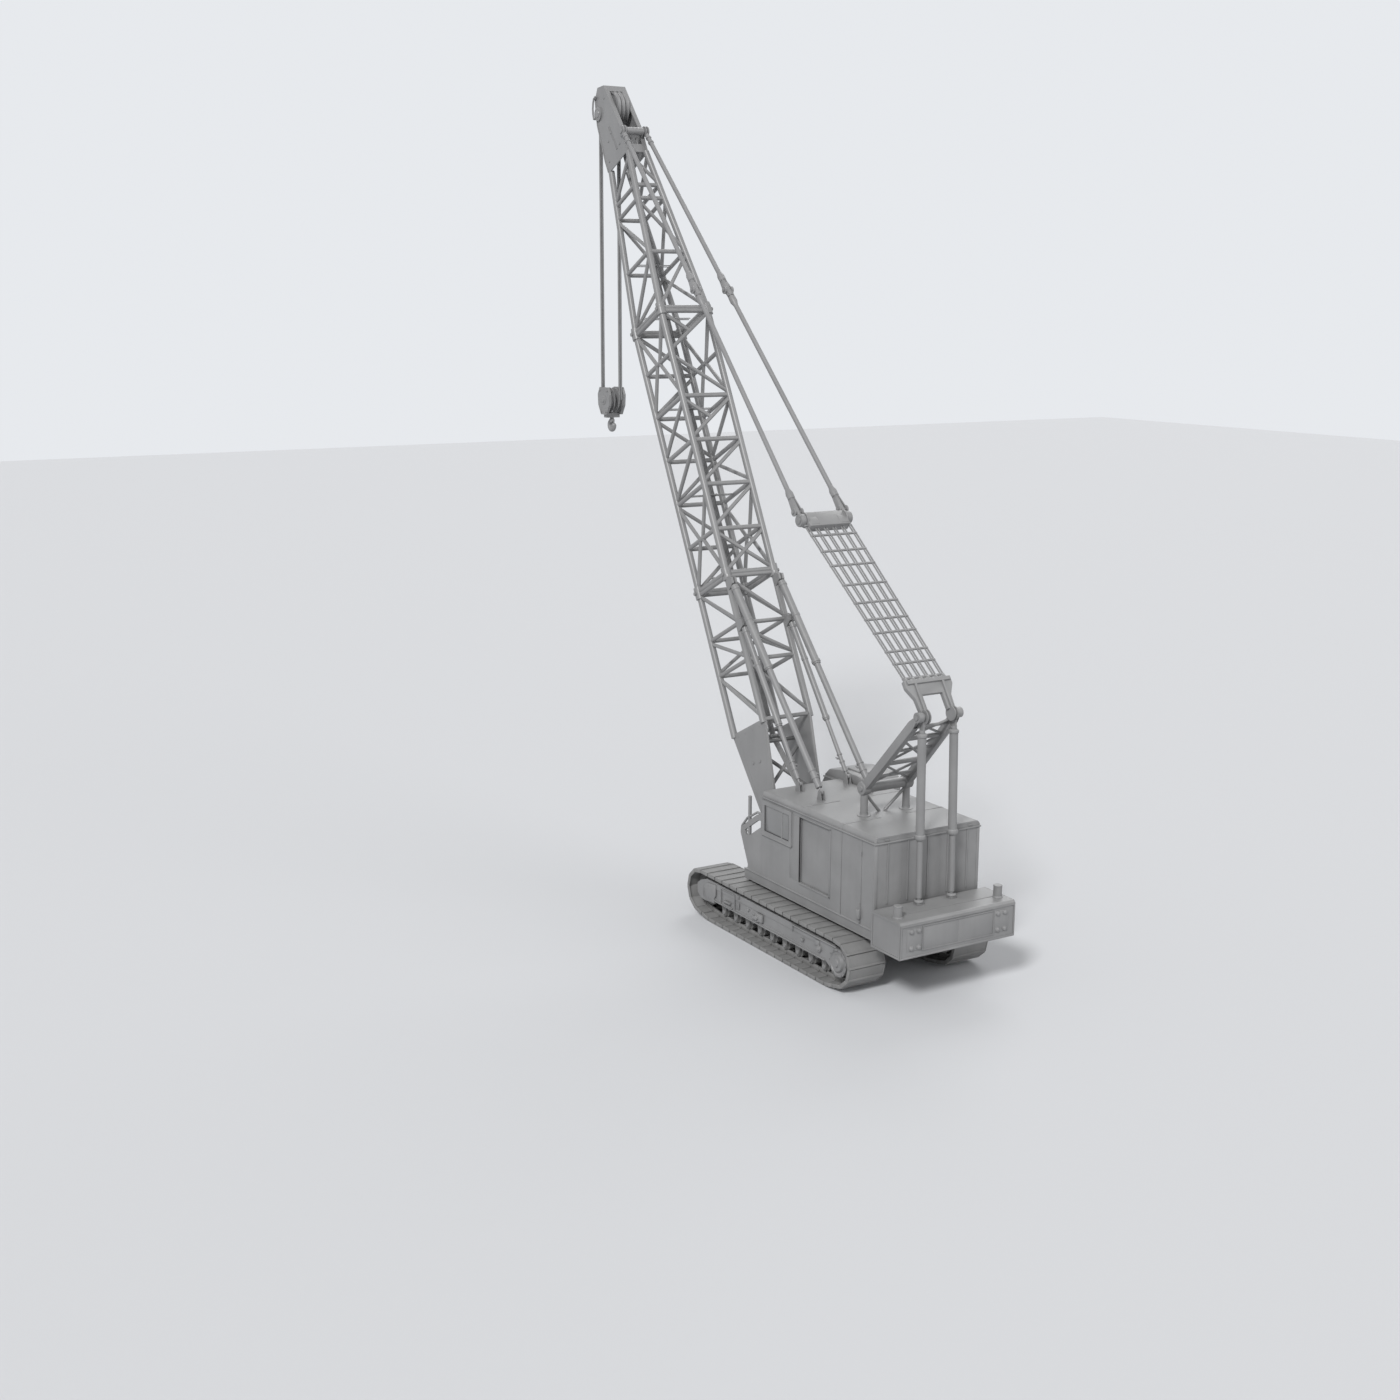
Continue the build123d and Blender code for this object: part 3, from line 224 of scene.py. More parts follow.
# Lighter grey that stands for dust and for painted light on upward faces
dustAndTopLightMix.inputs["B"].default_value = (0.3, 0.3, 0.3, 1)
linkNodes(coatGroup, [(dustAndTopLightMask, dustAndTopLightMix.inputs["Factor"]), (tint.outputs[0], dustAndTopLightMix.inputs["A"])])
glossSpan = mathNode(coatGroup, "SUBTRACT", coatIn.outputs["Gloss High"], coatIn.outputs["Gloss Low"])
patchGloss = mathNode(coatGroup, "MULTIPLY", glossSpan, patches)
gloss = mathNode(coatGroup, "ADD", coatIn.outputs["Gloss Low"], patchGloss)
patchRelief = mathNode(coatGroup, "MULTIPLY", patches, 0.5)
relief = mathNode(coatGroup, "ADD", grain, patchRelief)
linkNodes(coatGroup, [
    (dustAndTopLightMix.outputs["Result"], coatOut.inputs["Colour"]),
    (gloss, coatOut.inputs["Roughness"]),
    (relief, coatOut.inputs["Height"]),
])

finishes = {
    # slot: colour, patch scale, patch depth, grain scale, dust and top light (lighter upward faces: settled
    # dust and painted light), gloss low, gloss high, metallic, bump, coat
    # machine_paint's strong lighter mix on upward faces is partly dust and partly painted light on the roof
    # and other tops
    "machine_paint": ((0.220, 0.220, 0.222), 1.7, 0.46, 90, 0.70, 0.28, 0.58, 0.0, 0.06, 0.12),
    "boom_paint": ((0.226, 0.226, 0.228), 1.3, 0.34, 90, 0.30, 0.26, 0.52, 0.0, 0.05, 0.12),
    "running_gear": ((0.205, 0.204, 0.202), 3.0, 0.46, 45, 0.50, 0.40, 0.66, 0.0, 0.20, 0.0),
    "wire_rope": ((0.222, 0.222, 0.224), 6.0, 0.30, 160, 0.10, 0.34, 0.52, 0.0, 0.20, 0.0),
    "pin_steel": ((0.232, 0.232, 0.235), 2.6, 0.24, 120, 0.14, 0.34, 0.52, 0.0, 0.03, 0.0),
    "window_glass": ((0.190, 0.192, 0.194), 0.8, 0.20, 20, 0.25, 0.12, 0.30, 0.0, 0.01, 0.3),
    "seat_trim": ((0.060, 0.060, 0.062), 5.0, 0.25, 240, 0.20, 0.50, 0.72, 0.0, 0.30, 0.0),
    "dark_rubber": ((0.045, 0.045, 0.046), 4.0, 0.25, 180, 0.20, 0.55, 0.80, 0.0, 0.20, 0.0),
}
paints = {}
for finishName, settings in finishes.items():
    colour, patch, depth, grainScale, dustAndTopLight, glossLow, glossHigh, metal, bumpDepth, coat = settings
    paint = bpy.data.materials.new(finishName)
    paint.use_nodes = True
    tree = paint.node_tree
    shader = tree.nodes["Principled BSDF"]
    shader.inputs["Metallic"].default_value = metal
    shader.inputs["Coat Weight"].default_value = coat
    shader.inputs["Coat Roughness"].default_value = 0.25
    wearAndTopLight = tree.nodes.new("ShaderNodeGroup")
    wearAndTopLight.node_tree = coatGroup
    values = {
        "Colour": (*colour, 1), "Patch Scale": patch, "Patch Depth": depth, "Grain Scale": grainScale,
        "Dust And Top Light": dustAndTopLight, "Gloss Low": glossLow, "Gloss High": glossHigh,
    }
    for label, value in values.items():
        wearAndTopLight.inputs[label].default_value = value
    bump = tree.nodes.new("ShaderNodeBump")
    bump.inputs["Strength"].default_value = bumpDepth
    bump.inputs["Distance"].default_value = 0.01
    linkNodes(tree, [
        (wearAndTopLight.outputs["Colour"], shader.inputs["Base Color"]),
        (wearAndTopLight.outputs["Roughness"], shader.inputs["Roughness"]),
        (wearAndTopLight.outputs["Height"], bump.inputs["Height"]),
        (bump.outputs["Normal"], shader.inputs["Normal"]),
    ])
    if finishName == "machine_paint":   # pressed and welded edges are never knife sharp
        worked = tree.nodes.new("ShaderNodeBevel")
        worked.samples = 4
        worked.inputs["Radius"].default_value = 0.016
        tree.links.new(worked.outputs["Normal"], bump.inputs["Normal"])
    paints[finishName] = paint

for subpart in frame["record"]["subparts"]:
    cadPiece = nodes[subpart["node"]]
    for place in cadPiece.material_slots:
        place.link = "OBJECT"
        place.material = paints[subpart["material_slot"]]
print("finishes ready:", len(paints))

# Making pieces


def sideFrame(x):   # drawing plane of machine Y and Z, thickness towards +X
    return Matrix(((0, 0, 1, x), (1, 0, 0, 0), (0, 1, 0, 0), (0, 0, 0, 1)))


def rearFrame(y):   # drawing plane of machine X and Z, thickness towards -Y
    return Matrix(((1, 0, 0, 0), (0, 0, -1, y), (0, 1, 0, 0), (0, 0, 0, 1)))


def pointing(start, end, across=Vector((1, 0, 0))):   # Z runs from start to end, X lies near across
    start, end = Vector(start), Vector(end)
    along = (end - start).normalized()
    side = (across - along * across.dot(along)).normalized()
    turned = Matrix((side, along.cross(side), along)).transposed().to_4x4()
    return Matrix.Translation(start) @ turned


def soften(bm, verts, edge, segments=2):
    if edge <= 0:
        return
    for face in {face for vert in verts for face in vert.link_faces}:
        face.normal_update()
    sharp = {e for vert in verts for e in vert.link_edges if e.is_manifold and e.calc_face_angle(0) > 0.5}
    bmesh.ops.bevel(
        bm, geom=list(sharp), offset=edge, offset_type="OFFSET", segments=segments,
        profile=0.5, affect="EDGES", clamp_overlap=True, material=-1,
    )


def addBox(bm, low, high, edge=0.004, place=Matrix()):
    low, high = Vector(low), Vector(high)
    size = Matrix.Diagonal((*(high - low), 1))
    made = bmesh.ops.create_cube(bm, size=1, matrix=place @ Matrix.Translation((low + high) / 2) @ size)
    soften(bm, made["verts"], edge)


def addBar(bm, start, end, radius, sides=16, edge=0.0):
    start, end = Vector(start), Vector(end)
    alongX = abs((end - start).normalized().x) >= 0.9
    across = Vector((0, 1, 0)) if alongX else Vector((1, 0, 0.001))
    halfway = Matrix.Translation((0, 0, (end - start).length / 2))
    made = bmesh.ops.create_cone(
        bm, cap_ends=True, segments=sides, radius1=radius, radius2=radius, depth=(end - start).length,
        matrix=pointing(start, end, across) @ halfway,
    )
    soften(bm, made["verts"], edge, 1)


def addCross(bm, at, left, right, radius, sides, edge=0.0):   # bar along X, measured from a point
    addBar(bm, at + Vector((left, 0, 0)), at + Vector((right, 0, 0)), radius, sides, edge)


def addStrand(bm, start, end, radius, sides, parts):   # rope in short runs
    for i in range(parts):
        addBar(bm, start.lerp(end, i / parts), start.lerp(end, (i + 1) / parts), radius, sides)


def outFacing(side, x, y, z):   # Z points away from the machine's middle
    return Matrix.Translation((x, y, z)) @ Matrix.Rotation(side * pi / 2, 4, "Y")


def rearFacing(x, y, z):   # Z points to the rear
    return Matrix.Translation((x, y, z)) @ Matrix.Rotation(pi / 2, 4, "X")


def addSideBox(bm, side, across, along, up, edge=0.004):   # across is measured from the middle
    inner, outer = sorted((side * across[0], side * across[1]))
    addBox(bm, (inner, along[0], up[0]), (outer, along[1], up[1]), edge)


def addPlate(bm, outline, place, thick, edge=0.003):
    corners = [bm.verts.new(place @ Vector((u, v, 0))) for u, v in outline]
    face = bm.faces.new(corners)
    grown = bmesh.ops.extrude_face_region(bm, geom=[face])
    moved = [item for item in grown["geom"] if isinstance(item, bmesh.types.BMVert)]
    bmesh.ops.translate(bm, verts=moved, vec=place.to_3x3() @ Vector((0, 0, thick)))
    soften(bm, corners + moved, edge)


def addRing(bm, outline, place, width, thick):   # flat frame that follows an outline
    corners = [bm.verts.new(place @ Vector((u, v, 0))) for u, v in outline]
    inner = bm.faces.new(corners)
    inner.normal_update()
    inset = bmesh.ops.inset_region(
        bm, faces=[inner], thickness=width, use_even_offset=True, use_boundary=True,
    )
    ring = inset["faces"]
    bmesh.ops.delete(bm, geom=[inner], context="FACES")
    grown = bmesh.ops.extrude_face_region(bm, geom=ring)
    moved = [item for item in grown["geom"] if isinstance(item, bmesh.types.BMVert)]
    bmesh.ops.translate(bm, verts=moved, vec=place.to_3x3() @ Vector((0, 0, thick)))


def addBolt(bm, place, radius, height):   # hexagon head on a washer, standing on the frame's XY plane
    washer = Matrix.Translation((0, 0, height * 0.12))
    bmesh.ops.create_cone(
        bm, cap_ends=True, segments=12, radius1=radius * 1.35, radius2=radius * 1.3, depth=height * 0.24,
        matrix=place @ washer,
    )
    head = Matrix.Translation((0, 0, height * 0.6))
    bmesh.ops.create_cone(
        bm, cap_ends=True, segments=6, radius1=radius, radius2=radius * 0.92, depth=height * 0.8,
        matrix=place @ head,
    )


def addTurned(bm, profile, place, steps=24):   # (radius, height) profile spun about the frame's Z
    verts = [bm.verts.new((r, 0, h)) for r, h in profile]
    edges = [bm.edges.new(pair) for pair in zip(verts, verts[1:])]
    spun = bmesh.ops.spin(
        bm, geom=verts + edges, cent=(0, 0, 0), axis=(0, 0, 1), angle=2 * pi, steps=steps, use_merge=True,
    )
    made = {v for item in spun["geom_last"] + verts + edges for v in getattr(item, "verts", [item])}
    grew = True
    while grew:   # the whole spun shell, so that it can be put in place
        wider = {w for v in made for e in v.link_edges for w in e.verts}
        grew = len(wider) > len(made)
        made = wider
    made = list(made)
    bmesh.ops.transform(bm, matrix=place, verts=made)
    bmesh.ops.remove_doubles(bm, verts=made, dist=1e-5)


def addTube(bm, points, radius, sides=10):   # round bar through points, with elbows as balls
    for start, end in zip(points, points[1:]):
        addBar(bm, start, end, radius, sides)
    for elbow in points[1:-1]:
        bmesh.ops.create_uvsphere(
            bm, u_segments=sides, v_segments=6, radius=radius, matrix=Matrix.Translation(elbow),
        )


def finishPiece(name, bm, body, finish, crease=35):
    bmesh.ops.recalc_face_normals(bm, faces=bm.faces[:])
    for face in bm.faces:
        face.smooth = True
    for edge in bm.edges:
        edge.smooth = edge.is_manifold and edge.calc_face_angle(0) < radians(crease)
    mesh = bpy.data.meshes.new(name)
    bm.to_mesh(mesh)
    bm.free()
    mesh.materials.append(paints[finish])
    piece = bpy.data.objects.new(name, mesh)
    bpy.context.collection.objects.link(piece)
    if body:   # a piece given no body is left unattached
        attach(piece, body)
    return piece


# Boom measures: n in front of the axis, s along it

boomLean = radians(63)
boomFoot = Vector((0, 0.988, 1.477))
boomAlong = Vector((0, cos(boomLean), sin(boomLean)))
boomFront = Vector((0, sin(boomLean), -cos(boomLean)))


def boomPoint(x, n, s):
    return boomFoot + Vector((x, 0, 0)) + boomFront * n + boomAlong * s


def addBoomBar(bm, left, right, n, s, radius, sides, edge=0.0):   # bar across the boom
    addBar(bm, boomPoint(left, n, s), boomPoint(right, n, s), radius, sides, edge)


def boomPlane(x):   # drawing plane of n and s, thickness towards +X
    place = Matrix((boomFront, boomAlong, Vector((1, 0, 0)))).transposed().to_4x4()
    return Matrix.Translation(boomFoot + Vector((x, 0, 0))) @ place


def lean(start, end, share):
    return Vector(start).lerp(Vector(end), share)


# Crawlers

crawler = {
    "gauge": 2.4,
    "shoeWidth": 0.8,
    "endRadius": 0.47,
    "endHeight": 0.54,
    "endReach": 2.4,
    "groundReach": 2.06,
    "shoes": 46,
    "firstGap": 0.1477,   # along the belt from the middle of its top
    "pinDepth": 0.09,
    "railOut": 0.13,
    "frameFace": 1.5,
    "driveRing": 1.5431,
}


def beltRuns():   # the belt's seven runs from the middle of its top, and the angle round each end
    radius, reach, height = crawler["endRadius"], crawler["endReach"], crawler["endHeight"]
    ground = crawler["groundReach"]
    away = hypot(reach - ground, height)
    slope = (away ** 2 - radius ** 2) ** 0.5
    sweep = pi / 2 - (atan2(-height, ground - reach) + acos(radius / away))
    return [reach, radius * sweep, slope, 2 * ground, slope, radius * sweep, reach], sweep


def roundEnd(centre, turn):   # point and direction on one end of the belt
    radius = crawler["endRadius"]
    point = Vector((centre + radius * cos(turn), crawler["endHeight"] + radius * sin(turn)))
    return point, Vector((sin(turn), -cos(turn)))


def beltAt(distance):   # point and direction on the belt's outer face, in machine Y and Z
    radius, reach, height = crawler["endRadius"], crawler["endReach"], crawler["endHeight"]
    ground = crawler["groundReach"]
    runs, sweep = beltRuns()
    distance %= sum(runs)
    low = pi / 2 - sweep
    touch = Vector((reach + radius * cos(low), height + radius * sin(low)))
    if distance < runs[0]:
        return Vector((distance, height + radius)), Vector((1, 0))
    distance -= runs[0]
    if distance < runs[1]:
        turn = pi / 2 - distance / radius
        return roundEnd(reach, turn)
    distance -= runs[1]
    down = (Vector((ground, 0)) - touch).normalized()
    if distance < runs[2]:
        return touch + down * distance, down
    distance -= runs[2]
    if distance < runs[3]:
        return Vector((ground - distance, 0)), Vector((-1, 0))
    distance -= runs[3]
    up = Vector((down.x, -down.y))
    if distance < runs[4]:
        return Vector((-ground, 0)) + up * distance, up
    distance -= runs[4]
    if distance < runs[5]:
        turn = pi - low - distance / radius
        return roundEnd(-reach, turn)
    distance -= runs[5]
    return Vector((distance - reach, height + radius)), Vector((1, 0))


pitch = sum(beltRuns()[0]) / crawler["shoes"]
shoe = {
    "halfGap": 0.013,
    "face": -0.010,    # plate's outer face, under the grouser's edge
    "back": -0.042,
    "grouser": 0.045,
    "lipDepth": 0.078,
    "lipThick": 0.024,
    "linkBack": -0.136,
    "linkIn": 0.085,
    "pinRadius": 0.030,
}
half = pitch / 2 - shoe["halfGap"]
wide = crawler["shoeWidth"] / 2
shoeShape = bmesh.new()
addBox(shoeShape, (-half, shoe["back"], -wide + 0.004), (half, shoe["face"], wide - 0.004), 0.004)
grouserEnd = -half + shoe["grouser"]
addBox(shoeShape, (-half, shoe["face"] - 0.006, -wide + 0.002), (grouserEnd, 0, wide - 0.002), 0.005)
for end in (-1, 1):
    inner, outer = sorted((end * wide, end * (wide - shoe["lipThick"])))
    addBox(shoeShape, (-half, -shoe["lipDepth"], inner), (half, -0.003, outer), 0.006)
    inner, outer = sorted((end * shoe["linkIn"], end * crawler["railOut"]))
    linkEnd = (pitch / 2 - 0.040, shoe["back"] + 0.002, outer)
    addBox(shoeShape, (-pitch / 2 - 0.026, shoe["linkBack"], inner), linkEnd, 0.014)
pinLine = (-pitch / 2, -crawler["pinDepth"])
pinEnd = crawler["railOut"] + 0.012
addBar(shoeShape, (*pinLine, -pinEnd), (*pinLine, pinEnd), shoe["pinRadius"], 12)
shoeMesh = bpy.data.meshes.new("shoeShape")
shoeShape.to_mesh(shoeMesh)
shoeShape.free()
for side, trackName in ((-1, "track_left"), (1, "track_right")):
    belt = bmesh.new()
    middle = side * crawler["gauge"] / 2
    for i in range(crawler["shoes"]):
        start, _ = beltAt(crawler["firstGap"] + i * pitch)
        end, _ = beltAt(crawler["firstGap"] + (i + 1) * pitch)
        heading = (end - start).normalized()
        outward = Vector((-heading.y, heading.x))
        centre = (start + end) / 2
        place = Matrix((
            (0, 0, 1, middle),
            (heading.x, outward.x, 0, centre.x),
            (heading.y, outward.y, 0, centre.y),
            (0, 0, 0, 1),
        ))
        before = len(belt.verts)
        belt.from_mesh(shoeMesh)
        belt.verts.ensure_lookup_table()
        bmesh.ops.transform(belt, matrix=place, verts=belt.verts[before:])
    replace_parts(finishPiece(trackName + "_shoes", belt, "undercarriage", "running_gear"), trackName)
bpy.data.meshes.remove(shoeMesh)

frameTrim = {
    "bosses": [   # y, z, radius, height
        (0.30, 0.585, 0.085, 0.05), (0.30, 0.585, 0.045, 0.085), (0.475, 0.545, 0.035, 0.04),
        (0.684, 0.620, 0.030, 0.018), (-1.784, 0.611, 0.062, 0.05), (-1.784, 0.611, 0.035, 0.065),
    ],
    "blocks": [   # y, z, half length, half height, how far it stands out
        (0.24, 0.600, 0.110, 0.075, 0.048), (0.40, 0.550, 0.090, 0.030, 0.0448),
        (-1.22, 0.612, 0.035, 0.028, 0.0352), (-0.88, 0.755, 0.018, 0.068, 0.0256),
        (-1.60, 0.805, 0.720, 0.014, 0.0352), (-1.70, 0.700, 0.075, 0.055, 0.0192),
        (1.43, 0.560, 0.120, 0.014, 0.048), (1.43, 0.480, 0.180, 0.012, 0.0288),
        (1.015, 0.780, 0.010, 0.040, 0.0224), (1.050, 0.780, 0.010, 0.040, 0.0224),
        (1.015, 0.595, 0.010, 0.065, 0.0224), (1.050, 0.595, 0.010, 0.065, 0.0224),
        (0.0, 0.445, 1.950, 0.013, 0.0224),
    ],
    "idlerPlate": [
        (1.88, 0.79), (2.20, 0.76), (2.36, 0.65), (2.36, 0.46), (2.24, 0.37), (1.93, 0.39), (1.93, 0.50),
        (1.88, 0.56),
    ],
    "bolts": [
        (2.149, 0.712), (2.09, 0.712), (2.147, 0.446), (2.09, 0.446), (2.04, 0.409), (2.30, 0.55),
        (2.30, 0.61),
    ],
    "panel": [(1.69, 0.79), (1.16, 0.79), (1.16, 0.44), (1.69, 0.44)],
    "sunk": 0.004,   # how deep bosses and blocks start in the frame
    "driveBolts": 12,
    "driveBoltRing": 0.243,
    "rollers": 9,
    "rollerGap": 0.44,
    "rollerHeight": 0.2303,
}


def onFrame(side, height):   # drawing plane of a plate that stands on the side frame's outer face
    frameFace = side * crawler["frameFace"]
    return sideFrame(frameFace - 0.002 if side > 0 else frameFace + 0.002 - height)


trim = bmesh.new()
for side in (-1, 1):
    frameFace = side * crawler["frameFace"]
    for y, z, radius, height in frameTrim["bosses"]:
        start = (frameFace - side * frameTrim["sunk"], y, z)
        addBar(trim, start, (frameFace + side * height, y, z), radius, 20, 0.006)
    for y, z, halfLength, halfHeight, height in frameTrim["blocks"]:
        across = (crawler["frameFace"] - frameTrim["sunk"], crawler["frameFace"] + height)
        addSideBox(trim, side, across, (y - halfLength, y + halfLength), (z - halfHeight, z + halfHeight))
    addPlate(trim, frameTrim["idlerPlate"], onFrame(side, 0.026), 0.026, 0.006)
    addRing(trim, frameTrim["panel"], onFrame(side, 0.024), 0.020, 0.024)
    for y, z in frameTrim["bolts"]:
        addBolt(trim, outFacing(side, frameFace + side * 0.011, y, z), 0.014, 0.016)
    for i in range(frameTrim["driveBolts"]):
        turn = 2 * pi * i / frameTrim["driveBolts"]
        y = -crawler["endReach"] + frameTrim["driveBoltRing"] * cos(turn)
        z = crawler["endHeight"] + frameTrim["driveBoltRing"] * sin(turn)
        addBolt(trim, outFacing(side, side * crawler["driveRing"], y, z), 0.011, 0.013)
    for i in range(frameTrim["rollers"]):
        y = (i - 4) * frameTrim["rollerGap"]
        z = frameTrim["rollerHeight"]
        addBar(trim, (side * 1.384, y, z), (side * 1.402, y, z), 0.048, 18, 0.004)
        for off in (-0.062, 0.062):
            addBolt(trim, outFacing(side, side * 1.385, y + off, 0.36), 0.013, 0.014)
        if i < frameTrim["rollers"] - 1:
            outline = [(y + 0.15, 0.43), (y + 0.29, 0.43), (y + 0.25, 0.33), (y + 0.19, 0.33)]
            addPlate(trim, outline, sideFrame(side * 1.40 - 0.01), 0.02, 0.003)
    for y in (-0.86, 0.86):
        addSideBox(trim, side, (0.87, 0.90), (y - 0.23, y + 0.23), (0.41, 0.79), 0.006)
        for off in (-0.20, -0.07, 0.07, 0.20):
            addBolt(trim, outFacing(-side, side * 0.871, y + off, 0.775), 0.013, 0.016)
finishPiece("side_frame_fittings", trim, "undercarriage", "machine_paint")
print("crawlers dressed")

# Deck and machinery house

house = {
    "half": 1.177,
    "rear": -2.976,
    "front": 0.707,
    "rightFront": -0.33,
    "deckFront": 1.33,
    "roofSeams": (-0.62, -1.93),
    "rivetLines": (-0.595, 0.272),
}
skin = bmesh.new()
for side in (-1, 1):
    wall = house["half"]
    rear = house["rear"]
    frontEnd = house["deckFront"] if side < 0 else -0.08
    roofEnd = house["front"] if side < 0 else house["rightFront"]
    addSideBox(skin, side, (wall - 0.010, wall + 0.012), (rear, frontEnd), (1.236, 1.272), 0.006)
    addSideBox(skin, side, (wall - 0.006, wall + 0.006), (rear, frontEnd), (1.066, 1.084), 0.003)
    addSideBox(skin, side, (wall - 0.006, wall + 0.028), (rear - 0.024, roofEnd), (2.858, 2.890), 0.010)
    addSideBox(skin, side, (wall - 0.055, wall + 0.006), (rear - 0.008, rear + 0.05), (1.272, 2.868))
    band = [
        (1.172, 2.884), (1.184, 2.884), (1.184, 2.912), (1.168, 2.956), (1.140, 2.984), (1.100, 2.994),
        (0.300, 2.994), (0.300, 2.980), (1.090, 2.980), (1.128, 2.966), (1.156, 2.942), (1.172, 2.905),
    ]
    outline = [(side * x, z) for x, z in band]
    for y in house["roofSeams"]:
        addPlate(skin, outline, rearFrame(y + 0.03), 0.06, 0.0015)
    post = [(side * 1.150, 2.884), (side * 1.184, 2.884), (side * 1.184, 2.916), (side * 1.150, 2.960)]
    addPlate(skin, post, rearFrame(house["rear"] + 0.045), 0.055, 0.002)
    handle = [(0.90, 2.985), (0.90, 3.006), (0.99, 3.006), (0.99, 2.985)]
    addTube(skin, [(side * x, -y, 2.935) for x, y in handle], 0.007, 8)
addBox(skin, (-1.20, house["rear"] - 0.026, 2.858), (1.20, house["rear"] + 0.006, 2.890), 0.010)
addBox(skin, (-0.90, house["rear"] - 0.010, 1.262), (0.90, house["rear"] + 0.004, 1.300), 0.003)
for x in house["rivetLines"]:
    for i in range(30):
        place = rearFacing(x, house["rear"] - 0.001, 1.52 + i * 0.045)
        addTurned(skin, [(0.009, 0), (0.007, 0.005), (0, 0.007)], place, 8)
finishPiece("house_skin_trim", skin, "upper", "machine_paint")

leftWall = {
    "surround": [(-0.335, 2.13), (0.69, 2.13), (0.69, 2.82), (-0.335, 2.82)],
    "pane": [(-0.235, 2.215), (0.595, 2.215), (0.595, 2.785), (-0.235, 2.785)],
    "frontPanel": (-0.60, -0.24),
    "beads": [(-1.95, 0.008), (-2.574, 0.006)],
    "latch": (-2.545, 1.46),
}
wall = bmesh.new()
face = -house["half"]
addRing(wall, leftWall["surround"], sideFrame(face - 0.026), 0.085, 0.030)
addBox(wall, (face - 0.038, -0.335, 2.118), (face + 0.002, 0.69, 2.142), 0.006)
rear, front = leftWall["frontPanel"]
addBox(wall, (face + 0.001, rear, 1.485), (face + 0.014, front, 2.795), 0.003)
addBox(wall, (face + 0.001, rear, 1.485), (face + 0.040, rear + 0.030, 2.795), 0.003)
for y, half in leftWall["beads"]:
    addBox(wall, (face - 0.007, y - half, 1.275), (face + 0.002, y + half, 2.866), 0.002)
addBox(wall, (face - 0.008, -1.610, 1.478), (face + 0.002, -1.566, 2.80), 0.003)
for z in (1.478, 2.80):
    addBox(wall, (face - 0.008, -1.610, z - 0.018), (face + 0.002, -0.600, z + 0.018), 0.003)
y, z = leftWall["latch"]
addBox(wall, (face - 0.058, y - 0.048, z - 0.090), (face + 0.002, y + 0.048, z + 0.090), 0.014)
addBox(wall, (face - 0.018, y - 0.011, z - 0.20), (face + 0.002, y + 0.011, z + 0.20), 0.005)
for z in (1.55, 2.60):
    addBar(wall, (face - 0.012, -2.574, z - 0.05), (face - 0.012, -2.574, z + 0.05), 0.010, 12, 0.002)
finishPiece("left_wall_trim", wall, "upper", "machine_paint")

sheet = bmesh.new()
addPlate(sheet, leftWall["pane"], sideFrame(face - 0.006), 0.007, 0.001)
finishPiece("left_wall_pane", sheet, "upper", "window_glass")
gasket = bmesh.new()
addRing(gasket, leftWall["pane"], sideFrame(face - 0.011), 0.014, 0.010)
finishPiece("left_wall_gasket", gasket, "upper", "dark_rubber")

slider = bmesh.new()
doorFace = -1.129
doorRim = [(-1.555, 1.30), (-0.265, 1.30), (-0.265, 2.79), (-1.555, 2.79)]
doorGrip = [(-0.40, 1.98), (-0.31, 1.98), (-0.31, 2.12), (-0.40, 2.12)]
addRing(slider, doorRim, sideFrame(doorFace - 0.005), 0.03, 0.006)
addRing(slider, doorGrip, sideFrame(doorFace - 0.006), 0.010, 0.007)
finishPiece("side_door_trim", slider, "side_door", "machine_paint")
print("house dressed")

# Counterweight

weight = {"half": 1.293, "rear": -3.91, "front": -3.06, "low": 1.02, "high": 1.70}
ballast = bmesh.new()
for side in (-1, 1):
    outline = [
        (weight["front"] - 0.004, weight["low"] + 0.004), (weight["rear"] + 0.004, weight["low"] + 0.004),
        (weight["rear"] + 0.004, weight["high"] - 0.05), (weight["rear"] + 0.05, weight["high"] - 0.004),
        (weight["front"] - 0.004, weight["high"] - 0.004),
    ]
    start = weight["half"] - 0.002 if side > 0 else -weight["half"] - 0.010
    addRing(ballast, outline if side > 0 else outline[::-1], sideFrame(start), 0.045, 0.012)
    rear = weight["rear"]
    addSideBox(ballast, side, (0.007, 0.796), (rear - 0.001, rear + 0.062), (1.140, 1.572))
    addSideBox(ballast, side, (0.812, 1.146), (rear - 0.004, rear + 0.062), (1.147, 1.563), 0.006)
    cap = [(0.052, 0), (0.052, 0.008), (0.040, 0.010), (0.038, 0.026), (0.028, 0.034), (0, 0.036)]
    for x in (0.890, 1.054):
        for z in (1.205, 1.512):
            addTurned(ballast, cap, rearFacing(side * x, rear - 0.003, z), 20)
    place = Matrix.Translation((side * 1.13, weight["rear"] + 0.30, weight["high"]))
    addTurned(ballast, [(0.098, -0.002), (0.098, 0.010), (0.086, 0.016), (0.081, 0.030)], place, 24)
    lid = [(0.081, 0.196), (0.084, 0.202), (0.084, 0.220), (0.076, 0.228), (0, 0.228)]
    addTurned(ballast, lid, place, 24)
addBox(ballast, (-1.286, weight["rear"] - 0.014, 1.024), (1.286, weight["rear"] + 0.004, 1.062), 0.006)
panelRim = [(-0.812, 1.124), (0.812, 1.124), (0.812, 1.588), (-0.812, 1.588)]
addRing(ballast, panelRim, rearFrame(weight["rear"] + 0.002), 0.022, 0.014)
rearRim = [(-1.288, 1.028), (1.288, 1.028), (1.288, 1.64), (-1.288, 1.64)]
addRing(ballast, rearRim, rearFrame(weight["rear"] + 0.002), 0.030, 0.014)
addBox(ballast, (-1.20, -3.56, weight["high"] - 0.002), (1.20, -3.545, weight["high"] + 0.006), 0.002)
finishPiece("counterweight_trim", ballast, "upper", "machine_paint")
